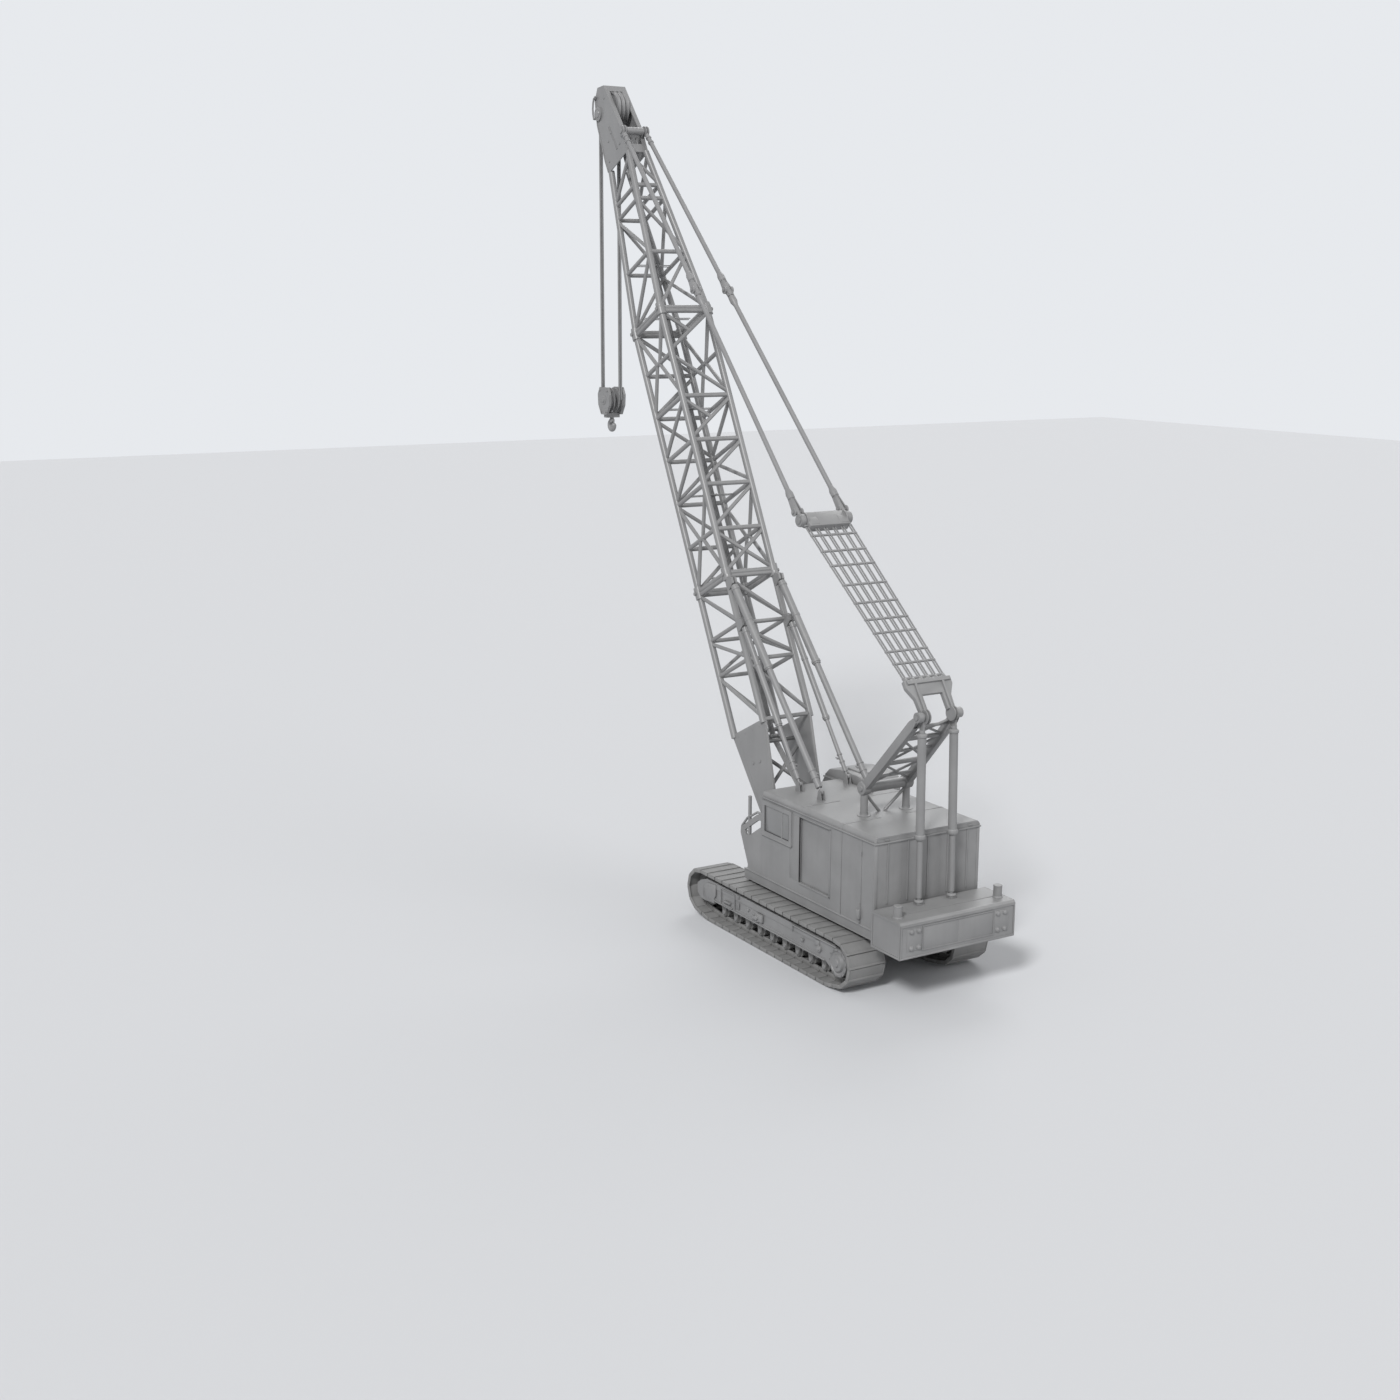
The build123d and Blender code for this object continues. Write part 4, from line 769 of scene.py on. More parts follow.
print("counterweight dressed")

# Gantry

gantry = {
    "foot": (0.484, -1.665, 3.51),
    "head": (0.431, -3.156, 5.133),
    "mastFoot": (0.373, -3.223, 1.7303),
    "mastHead": (0.3557, -3.156, 4.903),
    "collar": 2.95,
}
steel = bmesh.new()
feet = [Vector((side * gantry["foot"][0], *gantry["foot"][1:])) for side in (-1, 1)]
heads = [Vector((side * gantry["head"][0], *gantry["head"][1:])) for side in (-1, 1)]
for foot, head in zip(feet, heads):
    place = pointing(foot, head)
    reach = (head - foot).length
    outline = [
        (-0.085, 0.05), (0.085, 0.05), (0.080, reach - 0.20), (0.050, reach - 0.07),
        (-0.050, reach - 0.07), (-0.080, reach - 0.20),
    ]
    along = (head - foot).normalized()
    across = Vector((1, 0, 0)).cross(along)
    flat = Matrix((across, along, Vector((-1, 0, 0)))).transposed().to_4x4()
    for off in (-0.062, 0.050):
        addPlate(steel, outline, Matrix.Translation(foot + Vector((off + 0.012, 0, 0))) @ flat, 0.012, 0.002)
    web = Matrix.Translation(foot) @ place.to_3x3().to_4x4()
    for off in (-0.085, 0.073):
        addBox(steel, (-0.060, off, 0.06), (0.060, off + 0.012, reach - 0.22), 0.002, web)
    side = 1 if foot.x > 0 else -1
    outer = foot + Vector((side * 0.085, 0, 0))
    inner = foot - Vector((side * 0.085, 0, 0))
    addBar(steel, inner, outer, 0.125, 28, 0.010)
    addBar(steel, outer - Vector((side * 0.01, 0, 0)), outer + Vector((side * 0.022, 0, 0)), 0.060, 20, 0.006)
    base = Vector((foot.x, foot.y, 2.985))
    addTurned(steel, [(0.070, 0.06), (0.070, 0.52)], Matrix.Translation(base), 20)
    flange = [(0, 0.0), (0.130, 0.0), (0.130, 0.014), (0.078, 0.020), (0.074, 0.060)]
    addTurned(steel, flange, Matrix.Translation(base), 24)
    strutEnd = (foot.x - side * 0.42, foot.y + 0.10, 2.99)
    addBar(steel, foot - Vector((side * 0.02, 0, 0.10)), strutEnd, 0.030, 12)
addBar(steel, feet[0], feet[1], 0.098, 28)
for share in (0.16, 0.35, 0.53, 0.70, 0.86):
    addBar(steel, lean(feet[0], heads[0], share), lean(feet[1], heads[1], share), 0.032, 14)
for low, high in ((0.05, 0.35), (0.35, 0.70), (0.70, 0.94)):
    addBar(steel, lean(feet[0], heads[0], low), lean(feet[1], heads[1], high), 0.024, 12)
    addBar(steel, lean(feet[1], heads[1], low), lean(feet[0], heads[0], high), 0.024, 12)
for side in (-1, 1):
    foot = Vector((side * gantry["mastFoot"][0], *gantry["mastFoot"][1:]))
    head = Vector((side * gantry["mastHead"][0], *gantry["mastHead"][1:]))
    rise = (gantry["collar"] - foot.z) / (head.z - foot.z)
    collar = foot.lerp(head, rise)
    upTube = pointing(collar, head)
    sleeve = [(0.058, -0.055), (0.084, -0.050), (0.100, -0.030), (0.103, 0.0), (0.098, 0.030), (0.080, 0.046)]
    addTurned(steel, sleeve, upTube, 28)
    addBar(steel, collar, foot.lerp(head, 0.955), 0.079, 28)
    addBar(steel, foot.lerp(head, 0.03), collar, 0.055, 24)
    footPlate = [(0.0, 0.05), (0.092, 0.050), (0.088, 0.075), (0.058, 0.095)]
    addTurned(steel, footPlate, Matrix.Translation((foot.x, foot.y, 1.70)), 24)
    for dx in (-0.05, 0.05):
        for dy in (-0.05, 0.05):
            addBolt(steel, Matrix.Translation((foot.x + dx, foot.y + dy, 1.750)), 0.010, 0.014)
    top = pointing(head, (head.x, head.y, head.z + 1))
    addTurned(steel, [(0.079, -0.14), (0.094, -0.13), (0.094, -0.09), (0.060, -0.06)], top, 24)
finishPiece("gantry_frame", steel, "upper", "machine_paint")
print("gantry dressed")

# Front guard, rail and cab

guard = bmesh.new()
rail = [(0.72, 2.50), (0.92, 2.50), (1.28, 2.30), (1.47, 2.10), (1.49, 1.96), (1.20, 1.34)]
addTube(guard, [(-1.152, y, z) for y, z in rail], 0.024, 12)
postFoot = [(0.062, 0), (0.062, 0.012), (0.040, 0.020), (0.037, 0.05)]
addTurned(guard, postFoot, Matrix.Translation((-1.142, 1.21, 1.262)), 20)
postTop = [(0.037, 0), (0.040, 0.004), (0.034, 0.014), (0, 0.018)]
addTurned(guard, postTop, Matrix.Translation((-1.142, 1.21, 2.748)), 20)
for z in (1.62, 2.02):
    addBar(guard, (-1.142, 1.21, z), (-1.142, 1.40, z + 0.02), 0.014, 10)
finishPiece("guard_rail", guard, "upper", "machine_paint")

cabin = {"left": 0.69, "right": 1.58, "rear": -0.06}
cover = bmesh.new()
outline = [
    (cabin["rear"] - 0.01, 2.90), (cabin["rear"] + 0.02, 3.10), (0.20, 3.155), (0.80, 3.150), (1.16, 3.085),
    (1.34, 2.93), (1.28, 2.90),
]
addPlate(cover, outline, sideFrame(cabin["left"] + 0.01), cabin["right"] - cabin["left"] - 0.02, 0.055)
addBox(cover, (0.86, 0.22, 3.140), (1.41, 0.74, 3.185), 0.018)
drip = ((cabin["left"] - 0.012, cabin["rear"] - 0.012, 2.885), (cabin["right"] + 0.012, 1.33, 2.915))
addBox(cover, *drip, 0.010)
finishPiece("cab_roof_cap", cover, "upper", "machine_paint")

seals = bmesh.new()
sealLap = 0.016   # the seal's outer edge beyond the glass
for front, back, low, high in ((0.30, 0.07, 1.95, 2.78), (1.24, 0.38, 1.75, 2.78)):
    front, back, low, high = front + sealLap, back - sealLap, low - sealLap, high + sealLap
    outline = [(front, low), (back, low), (back, high), (front, high)]
    addRing(seals, outline, sideFrame(cabin["left"] - 0.008), 0.022, 0.010)
rearWindow = [(1.436, 1.934), (0.834, 1.934), (0.834, 2.716), (1.436, 2.716)]
addRing(seals, rearWindow, rearFrame(cabin["rear"] + 0.002), 0.022, 0.010)
rightWindow = [(0.316, 1.934), (0.054, 1.934), (0.054, 2.796), (0.316, 2.796)]
addRing(seals, rightWindow, sideFrame(cabin["right"] - 0.002), 0.022, 0.010)
finishPiece("cab_seals", seals, "upper", "dark_rubber")

cabTrim = bmesh.new()
grabRail = [(1.588, 1.72), (1.632, 1.75), (1.632, 2.42), (1.588, 2.45)]
addTube(cabTrim, [(x, 1.255, z) for x, z in grabRail], 0.013, 10)
frontRail = [(0.80, 1.475, 1.42), (0.80, 1.530, 1.45), (1.47, 1.530, 1.45), (1.47, 1.475, 1.42)]
addTube(cabTrim, frontRail, 0.014, 10)
for x in (0.80, 1.47):
    addBox(cabTrim, (x - 0.03, 1.395, 1.30), (x + 0.03, 1.43, 1.36), 0.006)
addTube(cabTrim, [(1.135, 1.478, 1.95), (1.135, 1.512, 1.97), (1.20, 1.500, 2.46)], 0.007, 8)
addBox(cabTrim, (1.575, 0.42, 1.235), (1.66, 1.14, 1.262), 0.006)
for z in (1.64, 2.50):
    addBox(cabTrim, (0.678, 0.335, z - 0.02), (0.692, 0.355, z + 0.02), 0.003)
finishPiece("cab_rails", cabTrim, "upper", "machine_paint")
handle = bmesh.new()
pull = [(1.574, 1.58), (1.598, 1.60), (1.598, 1.74), (1.574, 1.76)]
addTube(handle, [(x, 1.10, z) for x, z in pull], 0.008, 8)
doorWindow = [(1.086, 1.784), (0.474, 1.784), (0.474, 2.716), (1.086, 2.716)]
addRing(handle, doorWindow, sideFrame(1.574), 0.020, 0.006)
finishPiece("cab_door_trim", handle, "cab_door", "machine_paint")
print("cab and guard dressed")

# Winch drums with their rope

drums = [   # body, barrel radius, half length, y, z
    ("front_drum", 0.200, 0.290, 0.15, 1.70),
    ("rear_drum", 0.200, 0.290, -0.62, 1.70),
    ("boom_drum", 0.150, 0.220, -1.33, 1.62),
]
for body, barrel, half, y, z in drums:
    coils = bmesh.new()
    wraps = int(2 * half / 0.034)
    profile = [(barrel - 0.002, -half)]
    for i in range(wraps):
        start = -half + i * 2 * half / wraps
        profile += [(barrel + 0.012, start + 0.003), (barrel + 0.030, start + 0.017)]
        profile += [(barrel + 0.012, start + 0.031)]
    profile += [(barrel - 0.002, half)]
    addTurned(coils, profile, Matrix.Translation((0, y, z)) @ Matrix.Rotation(pi / 2, 4, "Y"), 36)
    finishPiece(body + "_rope", coils, body, "wire_rope", crease=50)
print("drums dressed")

# Boom fittings

boomSize = {
    "butt": 5.752,
    "midEnd": 11.616,
    "joint": 15.45,
    "halfWidth": 0.565,
    "halfDepth": 0.6,
    "tipHalfWidth": 0.215,
    "tipHalfDepth": 0.435,
    "tipForward": 0.115,
}


def boomSection(s):   # half width, rear n and front n of the chord box
    share = max(0.0, (s - boomSize["midEnd"]) / (boomSize["joint"] - boomSize["midEnd"]))
    width = boomSize["halfWidth"] + (boomSize["tipHalfWidth"] - boomSize["halfWidth"]) * share
    depth = boomSize["halfDepth"] + (boomSize["tipHalfDepth"] - boomSize["halfDepth"]) * share
    return width, boomSize["tipForward"] * share - depth, boomSize["tipForward"] * share + depth


def thicken(node, piece, body, finish, grow):   # a merged copy of a node, its skin pushed outwards
    bm = bmesh.new()
    bm.from_mesh(nodes[node].data)
    bmesh.ops.remove_doubles(bm, verts=bm.verts[:], dist=1e-5)
    bm.normal_update()
    for vert, shift in [(v, v.normal * grow * min(v.calc_shell_factor(), 1.6)) for v in bm.verts]:
        vert.co += shift
    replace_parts(finishPiece(piece, bm, body, finish), node)


weldedGrowth = {"boom_butt": 0.014, "boom_mid": 0.017, "boom_top": 0.015}   # the photograph's fuller tubes
for node, grow in weldedGrowth.items():
    thicken(node, node + "_tubes", "boom", "boom_paint", grow)
thicken("pendants", "pendant_bars", "stays", "pin_steel", 0.006)
thicken("spreader", "spreader_body", "stays", "machine_paint", 0.004)

fittings = bmesh.new()
for s in (boomSize["butt"], boomSize["midEnd"]):
    width, rear, front = boomSection(s)
    for x in (-width, width):
        for n in (rear, front):
            outside = 1 if x > 0 else -1
            for off in (-0.055, 0.055):
                place = pointing(boomPoint(x, n, s + off - 0.012), boomPoint(x, n, s + off + 0.012))
                addTurned(fittings, [(0.078, 0), (0.094, 0), (0.094, 0.024), (0.078, 0.024)], place, 24)
            addBoomBar(fittings, x - 0.115, x + 0.115, n, s, 0.026, 14, 0.003)
            addBoomBar(fittings, x + outside * 0.100, x + outside * 0.125, n, s, 0.040, 16, 0.004)
for side in (-1, 1):
    face = side * 0.574
    for n, s in ((0.114, 1.968), (-0.140, 1.941)):
        addBoomBar(fittings, face - side * 0.002, face + side * 0.022, n, s, 0.030, 16, 0.004)
        slotStart = boomPoint(face, n - 0.055, s - 0.01)
        addBar(fittings, slotStart, boomPoint(face, n + 0.055, s + 0.01), 0.010, 10)
    rib = [(0.085, 0.10), (0.105, 0.10), (0.46, 2.60), (0.44, 2.60)]
    addPlate(fittings, rib, boomPlane(face - 0.002 if side > 0 else face - 0.008), 0.010, 0.002)
    for rim in (
        [(-0.070, 0.10), (-0.630, 2.66), (-0.600, 2.66), (-0.045, 0.10)],
        [(0.045, 0.10), (0.600, 2.66), (0.630, 2.66), (0.070, 0.10)],
    ):
        addPlate(fittings, rim, boomPlane(face - 0.030 if side > 0 else face), 0.030, 0.003)
    for n in (-0.43, -0.15, 0.15, 0.43):
        addBoomBar(fittings, face - side * 0.004, face + side * 0.012, n, 2.60, 0.016, 6)
finishPiece("boom_fittings", fittings, "boom", "boom_paint")

boomRope = {
    "lines": (-0.051, -0.017, 0.017, 0.051),
    "radius": 0.015,
    "foot": (0.05, 2.45),
    "head": (0.177, 16.72),
    "guides": (5.90, 7.707, 9.661, 11.75, 12.996),
}
ropes = bmesh.new()
for x in boomRope["lines"]:
    start = boomPoint(x, *boomRope["foot"])
    end = boomPoint(x, *boomRope["head"])
    addBar(ropes, start, end, boomRope["radius"], 12)
finishPiece("boom_rope", ropes, "boom", "wire_rope")
holders = bmesh.new()
(footN, footS), (headN, headS) = boomRope["foot"], boomRope["head"]
for s in boomRope["guides"]:
    n = footN + (headN - footN) * (s - footS) / (headS - footS)
    width, _, _ = boomSection(s)
    for off in (-0.032, 0.032):
        addBoomBar(holders, -width, width, n + off, s, 0.011, 10)
    for x in (-0.085, 0.085):
        addBar(holders, boomPoint(x, n - 0.05, s), boomPoint(x, n + 0.05, s), 0.022, 14, 0.003)
    for off in (0.034, -0.034):
        addBoomBar(holders, -0.08, 0.08, n + off, s, 0.019, 14)
addBoomBar(holders, -0.11, 0.11, footN, footS, 0.045, 20, 0.004)
for x in (-0.10, 0.10):
    outline = [(-0.045, 2.33), (0.09, 2.40), (0.09, 2.50), (-0.045, 2.42)]
    addPlate(holders, outline, boomPlane(x - 0.006), 0.012, 0.002)
finishPiece("rope_guides", holders, "boom", "boom_paint")

def addBand(bm, place, radius, wide, slope, length, steps):   # raised band round a tube
    low, high = radius - 0.001, radius + wide
    addTurned(bm, [(low, 0), (high, slope), (high, length - slope), (low, length)], place, steps)


drumLead = (0.15, 1.93)   # where the lead rope meets the front drum, in Y and Z
leadRope = bmesh.new()
for x in boomRope["lines"]:
    start = boomPoint(x, *boomRope["foot"])
    addStrand(leadRope, start, Vector((x, *drumLead)), boomRope["radius"], 10, 12)
bmesh.ops.remove_doubles(leadRope, verts=leadRope.verts[:], dist=1e-5)
lead = finishPiece("drum_lead_rope", leadRope, None, "wire_rope")
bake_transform(lead)

pinFront = -0.75   # n of the pins that hold the stops and props
struts = {   # the pin's place along the boom, the foot on the roof, the tube's length, tube and rod radius
    "stop": (5.552, (0, -0.4, 3.13), 2.1, 0.078, 0.062),
    "prop": (4.665, (0, 0.33, 3.13), 2.3, 0.060, 0.042),
}
clips = bmesh.new()
for side in (-1, 1):
    x = side * boomSize["halfWidth"]
    for along, *_ in struts.values():
        for off in (-1, 1):
            capStart = x + off * 0.050
            addBoomBar(clips, capStart, capStart + off * 0.016, pinFront, along, 0.034, 14, 0.003)
finishPiece("strut_pin_caps", clips, "boom", "pin_steel")
for strut, (along, foot, tubeEnd, tubeRadius, rodRadius) in struts.items():
    pin, foot = boomPoint(0, pinFront, along), Vector(foot)
    reach = (foot - pin).length
    way = (foot - pin).normalized()
    gland = bmesh.new()
    valve = bmesh.new()
    for side in (-1, 1):
        shiftX = Vector((side * boomSize["halfWidth"], 0, 0))
        for at, wide in ((0.16, 0.010), (0.9, 0.008), (tubeEnd - 0.09, 0.014)):
            place = pointing(pin + shiftX + way * at, pin + shiftX + way * (at + 1))
            addBand(gland, place, tubeRadius, wide, 0.006, 0.062, 24)
        for back in (0.34, 0.50):
            place = pointing(pin + shiftX + way * (reach - back), foot + shiftX)
            addBand(valve, place, rodRadius, 0.012, 0.004, 0.040, 20)
        at = pin + shiftX + way * (reach - 0.40)
        addCross(valve, at, 0, -side * (rodRadius + 0.05), 0.018, 12, 0.003)
        leverX = -side * (rodRadius + 0.04)
        addBar(valve, at + Vector((leverX, -0.03, 0)), at + Vector((leverX, 0.05, 0.01)), 0.012, 10)
    finishPiece(strut + "_tubes_bands", gland, strut + "_tubes", "machine_paint")
    finishPiece(strut + "_rods_fittings", valve, strut + "_rods", "pin_steel")
print("boom dressed")

# Boom head

sheaveAxle = (0.404, 16.786)   # n and s of the head's two cross pins
pendantAxle = (-0.395, 15.90)
axleCap = [
    (0.145, 0), (0.150, 0.006), (0.120, 0.014), (0.085, 0.014), (0.075, 0.028), (0.040, 0.032), (0, 0.032),
]
headTrim = bmesh.new()
for side in (-1, 1):
    face = side * 0.267
    cap = side * 0.295
    at = boomPoint(cap - side * 0.002, *sheaveAxle)
    place = pointing(at, at + Vector((side, 0, 0)), Vector((0, 1, 0)))
    addTurned(headTrim, axleCap, place, 32)
    for i in range(8):
        turn = 2 * pi * i / 8
        head = place @ Matrix.Translation((0.105 * cos(turn), 0.105 * sin(turn), 0.014))
        addBolt(headTrim, head, 0.010, 0.012)
    rim = [
        (0.575, 15.47), (0.600, 15.47), (0.622, 15.75), (0.580, 16.62), (0.410, 17.17), (0.388, 17.15),
        (0.556, 16.60), (0.597, 15.75),
    ]
    addPlate(headTrim, rim, boomPlane(face - 0.020 if side > 0 else face - 0.012), 0.032, 0.003)
    for n, s, radius in (
        (0.10, 16.15, 0.022), (0.30, 16.05, 0.018), (-0.12, 15.75, 0.022), (0.45, 15.65, 0.018),
        (0.05, 16.95, 0.018),
    ):
        addBoomBar(headTrim, face - side * 0.002, face + side * 0.014, n, s, radius, 14, 0.003)
    slot = [(0.00, 15.72), (0.05, 15.70), (0.16, 16.30), (0.11, 16.32)]
    addRing(headTrim, slot, boomPlane(face - 0.002 if side > 0 else face - 0.008), 0.012, 0.010)
    eye = side * 0.272
    addBoomBar(headTrim, eye + side * 0.048, eye + side * 0.070, *pendantAxle, 0.060, 18, 0.005)
addBoomBar(headTrim, -0.215, 0.215, *pendantAxle, 0.082, 28, 0.006)
saddle = {"centre": (0.10, 16.745), "rim": 0.362, "root": 0.330, "web": 0.10, "from": 86, "sweep": 184}
for x in (-0.102, 0.0, 0.102):
    outer, root, web = saddle["rim"], saddle["root"], saddle["web"]
    profile = [(web, -0.012), (root - 0.02, -0.012), (root - 0.012, -0.040), (outer, -0.044), (root, -0.014)]
    profile += [(r, -h) for r, h in reversed(profile)]
    turned = boomPlane(x) @ Matrix.Translation((*saddle["centre"], 0))
    turned = turned @ Matrix.Rotation(radians(saddle["from"]), 4, "Z")
    corners = [headTrim.verts.new(turned @ Vector((r, 0, h))) for r, h in profile]
    section = headTrim.faces.new(corners)
    axis = (turned.to_3x3() @ Vector((0, 0, 1))).normalized()
    bmesh.ops.spin(
        headTrim, geom=[section], cent=turned @ Vector((0, 0, 0)), axis=axis,
        angle=radians(saddle["sweep"]), steps=18,
    )
for x in (-0.062, 0.062):
    outline = [(-0.318, 15.47), (-0.290, 15.47), (-0.278, 15.80), (-0.306, 15.80)]
    addPlate(headTrim, outline, boomPlane(x - 0.012), 0.024, 0.002)
finishPiece("head_fittings", headTrim, "boom", "boom_paint")

arcShape = {
    "x": -0.310,
    "middle": (8.9687, 16.25),   # Y and Z that the points are measured from
    "points": [(0.09, 0.36), (0.15, 0.33), (0.185, 0.24), (0.20, 0.12), (0.19, 0.0), (0.155, -0.09)],
}
ropeGuard = bmesh.new()
middleY, middleZ = arcShape["middle"]
arc = [Vector((arcShape["x"], middleY + dy, middleZ + dz)) for dy, dz in arcShape["points"]]
addTube(ropeGuard, arc, 0.019, 10)
for point in (arc[0], arc[-1]):
    addCross(ropeGuard, point, -0.012, 0.062, 0.026, 14, 0.004)
finishPiece("rope_guard_arc", ropeGuard, "boom", "boom_paint")

ropeReach = 0.227   # from a sheave's axle to the middle of its rope
sheaveCentre = boomPoint(0, *sheaveAxle)
wrapRope = bmesh.new()
turns = [radians(-4 + 12 * i) for i in range(17)]
wrap = [(sheaveCentre.y + ropeReach * cos(t), sheaveCentre.z + ropeReach * sin(t)) for t in turns]
for x in (-0.1, 0.0, 0.1):
    for off in (-0.021, 0.021):
        addTube(wrapRope, [Vector((x + off, y, z)) for y, z in wrap], 0.0158, 10)
finishPiece("head_sheave_rope", wrapRope, "boom", "wire_rope")
print("head dressed")

# Boom hoist rigging

rigging = {
    "spreader": (0, 0.476, 8.229),
    "bridle": (0, -2.8, 5.65),
    "spreaderHalf": 0.52,
    "pendantHalf": 0.272,
    "rungs": (0.035, 0.10, 0.20, 0.29, 0.41, 0.52, 0.62, 0.70, 0.81, 0.88, 0.965),
    "spreaderPitch": 0.196,
    "bridlePitch": 0.168,
    "pair": 0.027,
}
spreaderAt = Vector(rigging["spreader"])
bridleAt = Vector(rigging["bridle"])
tipAt = boomPoint(0, *pendantAxle)


def addFork(bm, joint, away, length, spread, radius):   # open fork from a pin across X to a socket on the bar
    way = (away - joint).normalized()
    socket = joint + way * length
    for side in (-1, 1):
        start = joint + Vector((side * spread, 0, 0)) - way * 0.05
        leg = pointing(start, socket + Vector((side * radius * 0.6, 0, 0)), Vector((0, 1, 0)))
        reach = (socket - start).length
        addBox(bm, (-0.055, -0.011, 0), (0.055, 0.011, reach), 0.008, leg)
        addCross(bm, joint, side * (spread - 0.014), side * (spread + 0.014), 0.078, 22, 0.005)
    addCross(bm, joint, -(spread + 0.040), spread + 0.040, 0.030, 16, 0.004)
    ferrule = [(0.002, -0.12), (0.030, -0.10), (0.034, 0.02), (0.012, 0.10), (0.002, 0.16)]
    place = pointing(joint, away) @ Matrix.Translation((0, 0, length))
    addTurned(bm, [(radius + proud, along) for proud, along in ferrule], place, 22)


links = bmesh.new()
for side in (-1, 1):
    low = Vector((side * rigging["spreaderHalf"], 0, 0)) + spreaderAt
    high = Vector((side * rigging["pendantHalf"], 0, 0)) + tipAt
    addFork(links, low + (high - low).normalized() * 0.20, high, 0.42, 0.085, 0.042)
    middle = low.lerp(high, 0.560)
    addFork(links, middle, high, 0.36, 0.085, 0.042)
    addFork(links, middle, low, 0.30, 0.060, 0.042)
    addCross(links, low, -side * 0.045, side * 0.045, 0.125, 26, 0.008)
    for off in (-0.044, 0.020):
        addCross(links, high, off, off + 0.024, 0.112, 28, 0.004)
    for back in (0.16, 0.30):
        place = pointing(high + (low - high).normalized() * (back + 0.06), high)
        addTurned(links, [(0.043, 0), (0.062, 0.006), (0.062, 0.050), (0.043, 0.056)], place, 22)
finishPiece("pendant_links", links, "stays", "pin_steel")

ladder = bmesh.new()
for share in rigging["rungs"]:
    centre = spreaderAt.lerp(bridleAt, share)
    pitchHere = rigging["spreaderPitch"] + (rigging["bridlePitch"] - rigging["spreaderPitch"]) * share
    half = 2.5 * pitchHere + 0.045
    way = (bridleAt - spreaderAt).normalized()
    place = pointing(centre - way * 0.02, centre + way)
    addBox(ladder, (-half, -0.018, 0), (half, 0.018, 0.04), 0.006, place)
rungs = finishPiece("fall_spacers", ladder, None, "pin_steel")
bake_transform(rungs)

strands = bmesh.new()
way = (spreaderAt - bridleAt).normalized()
for k in (-5, -3, -1, 1, 3, 5):
    for off in (-rigging["pair"], rigging["pair"]):
        low = bridleAt + Vector((k * rigging["bridlePitch"] / 2 + off, 0, 0)) + way * 0.0353
        high = spreaderAt + Vector((k * rigging["spreaderPitch"] / 2 + off, 0, 0)) - way * 0.1923
        addStrand(strands, low, high, 0.016, 10, 16)
bmesh.ops.remove_doubles(strands, verts=strands.verts[:], dist=1e-5)
fallsRope = finishPiece("boom_hoist_rope", strands, None, "wire_rope")
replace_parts(fallsRope, "hoist_falls")
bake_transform(fallsRope)

beam = bmesh.new()
for side in (-1, 1):
    addCross(beam, spreaderAt, side * 0.578, side * 0.600, 0.066, 24, 0.006)
    addCross(beam, spreaderAt, side * 0.430, side * 0.472, 0.150, 32, 0.010)
boxPlace = pointing(spreaderAt, bridleAt)
addBox(beam, (-0.462, -0.092, -0.130), (0.462, 0.092, 0.235), 0.026, boxPlace)
for x in (-0.34, 0.34):
    addBox(beam, (x - 0.10, -0.100, 0.02), (x + 0.10, 0.100, 0.20), 0.006, boxPlace)
finishPiece("spreader_trim", beam, "stays", "machine_paint")

yoke = bmesh.new()
gantryAt = Vector((0, -3.156, 5.133))
up = (spreaderAt - bridleAt).normalized()
addCross(yoke, bridleAt + up * 0.075, -0.455, 0.455, 0.038, 20, 0.004)
for k in (-5, -3, -1, 1, 3, 5):
    x = k * rigging["bridlePitch"] / 2
    foot = bridleAt + Vector((x, 0, 0)) + up * 0.034
    addTurned(yoke, [(0.050, 0), (0.050, 0.05), (0.040, 0.10), (0.036, 0.105)], pointing(foot, foot + up), 16)
for side in (-1, 1):
    eye = gantryAt + Vector((side * 0.304, 0, 0))
    for off in (-0.030, 0.030):
        addCross(yoke, eye, off - 0.010, off + 0.010, 0.140, 32, 0.004)
arm = (bridleAt - gantryAt).normalized()
yokePlane = Matrix((Vector((1, 0, 0)), arm, Vector((1, 0, 0)).cross(arm))).transposed().to_4x4()
yokeHalf = [(0.225, 0.40), (0.225, 0.08), (0.385, 0.08), (0.400, 0.34), (0.515, 0.55), (0.515, 0.70)]
yokeOutline = yokeHalf + [(-x, v) for x, v in reversed(yokeHalf)]
yokePlace = Matrix.Translation(gantryAt) @ yokePlane @ Matrix.Translation((0, 0, -0.045))
addPlate(yoke, yokeOutline, yokePlace, 0.09, 0.010)
finishPiece("bridle_trim", yoke, "bridle", "machine_paint")
print("boom hoist rigging dressed")

# Hook falls and block

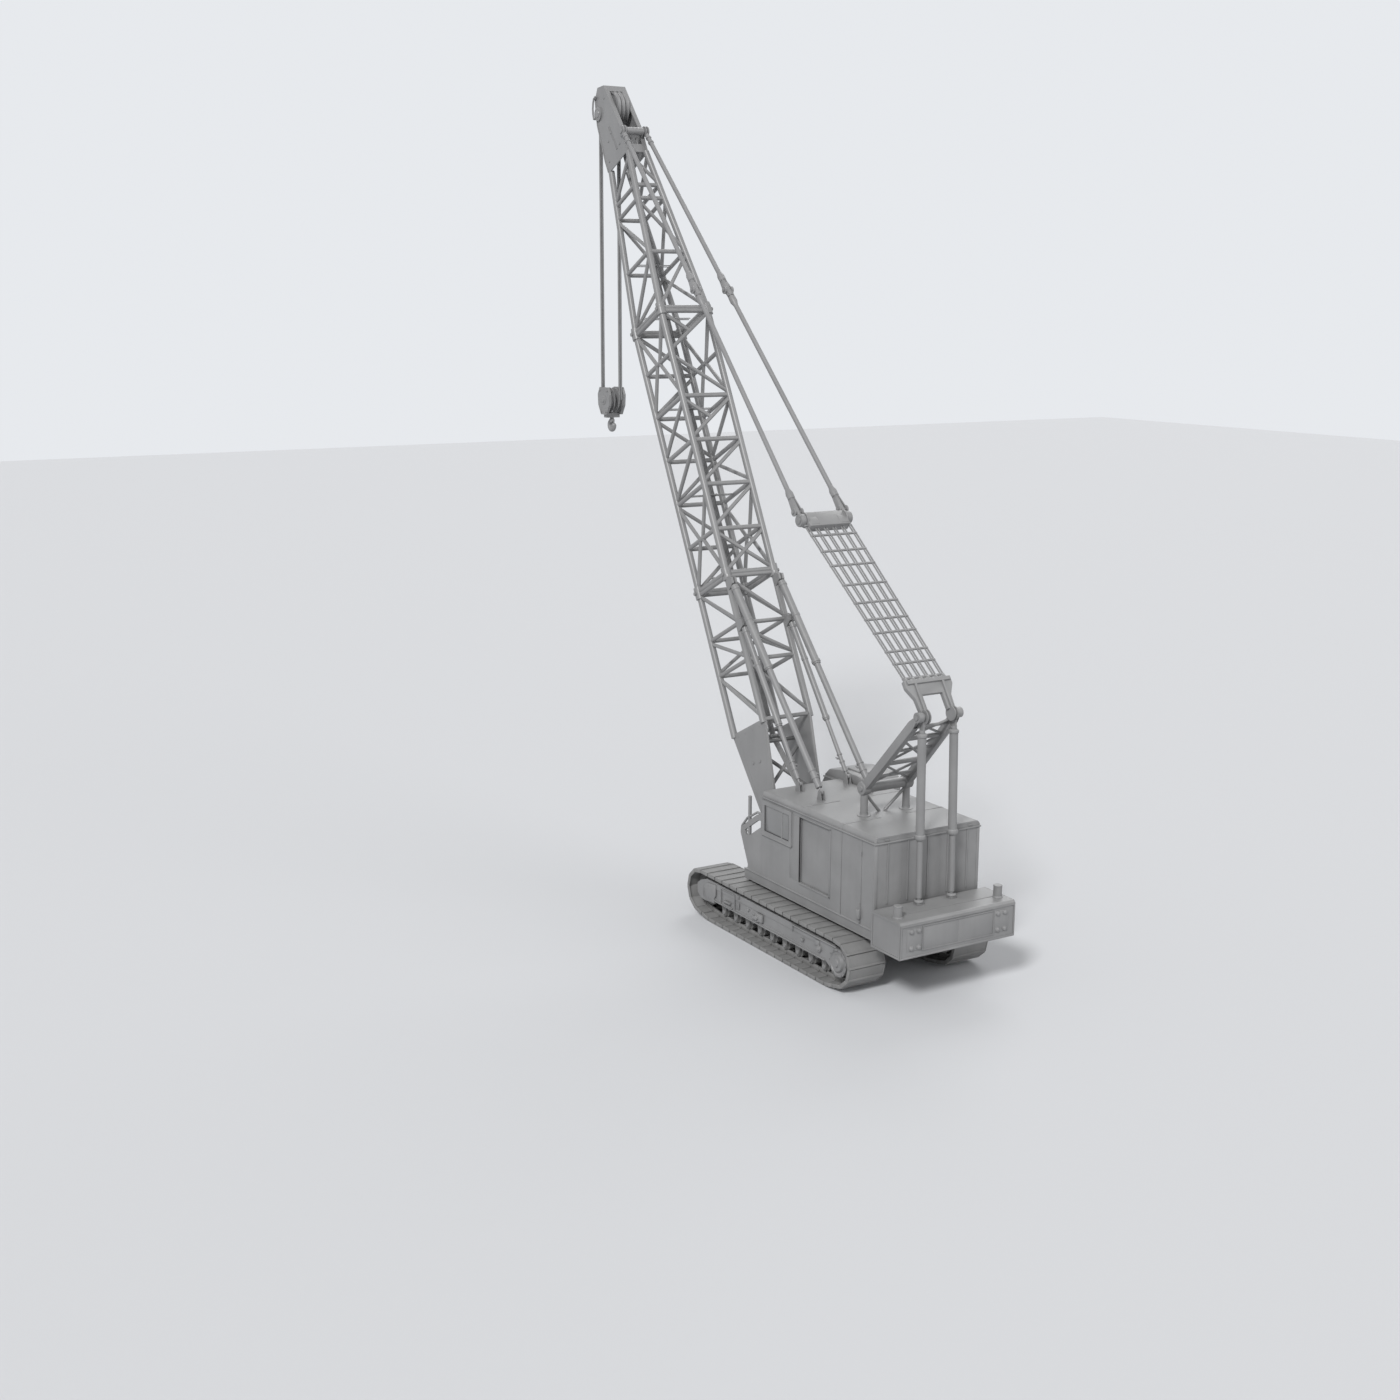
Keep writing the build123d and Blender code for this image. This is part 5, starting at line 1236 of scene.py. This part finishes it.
fallLength = 6.18
blockAt = Vector((0, sheaveCentre.y, sheaveCentre.z - fallLength))
fallRope = bmesh.new()
for side in (-1, 1):
    y = sheaveCentre.y - side * ropeReach
    for off in (-0.024, 0.024):
        top = Vector((side * 0.1 + off, y, sheaveCentre.z))
        bottom = Vector((side * 0.1 + off, y, blockAt.z))
        addStrand(fallRope, bottom, top, 0.022, 12, 24)
bmesh.ops.remove_doubles(fallRope, verts=fallRope.verts[:], dist=1e-5)
loadRope = finishPiece("load_rope", fallRope, None, "wire_rope")
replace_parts(loadRope, "load_falls")
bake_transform(loadRope)

blockTrim = bmesh.new()
cheek = 0.210
for side in (-1, 1):
    start = blockAt + Vector((side * (cheek - 0.004), 0, 0))
    place = pointing(start, start + Vector((side, 0, 0)), Vector((0, 1, 0)))
    pinCap = [(0.110, 0), (0.110, 0.010), (0.085, 0.016), (0.060, 0.016), (0.055, 0.034), (0, 0.036)]
    addTurned(blockTrim, pinCap, place, 28)
    for y, z in ((-0.17, 0.20), (0.17, 0.20), (-0.11, -0.27), (0.11, -0.27)):
        head = outFacing(side, *(blockAt + Vector((side * (cheek - 0.004), y, z))))
        addBolt(blockTrim, head, 0.020, 0.020)
finishPiece("hook_block_trim", blockTrim, "hook_block", "machine_paint")

thicken("hook", "hook_forging", "hook", "pin_steel", 0.013)
hookTop = blockAt.z - 0.48
latch = bmesh.new()
hookY = blockAt.y
nut = [(0.044, -0.01), (0.060, 0.0), (0.060, 0.060), (0.044, 0.075), (0.031, 0.085)]
addTurned(latch, nut, Matrix.Translation((0, hookY, hookTop - 0.02)), 24)
addBox(latch, (-0.013, hookY - 0.105, hookTop - 0.105), (0.013, hookY - 0.092, hookTop + 0.015), 0.004)
hinge = (hookY - 0.070, hookTop + 0.012)   # Y and Z of the latch's pin
addBar(latch, (-0.030, *hinge), (0.030, *hinge), 0.014, 12, 0.002)
addBar(latch, (0, *hinge), (0, hookY - 0.100, hookTop + 0.005), 0.012, 10)
finishPiece("hook_latch", latch, "hook", "pin_steel")
print("hook dressed")
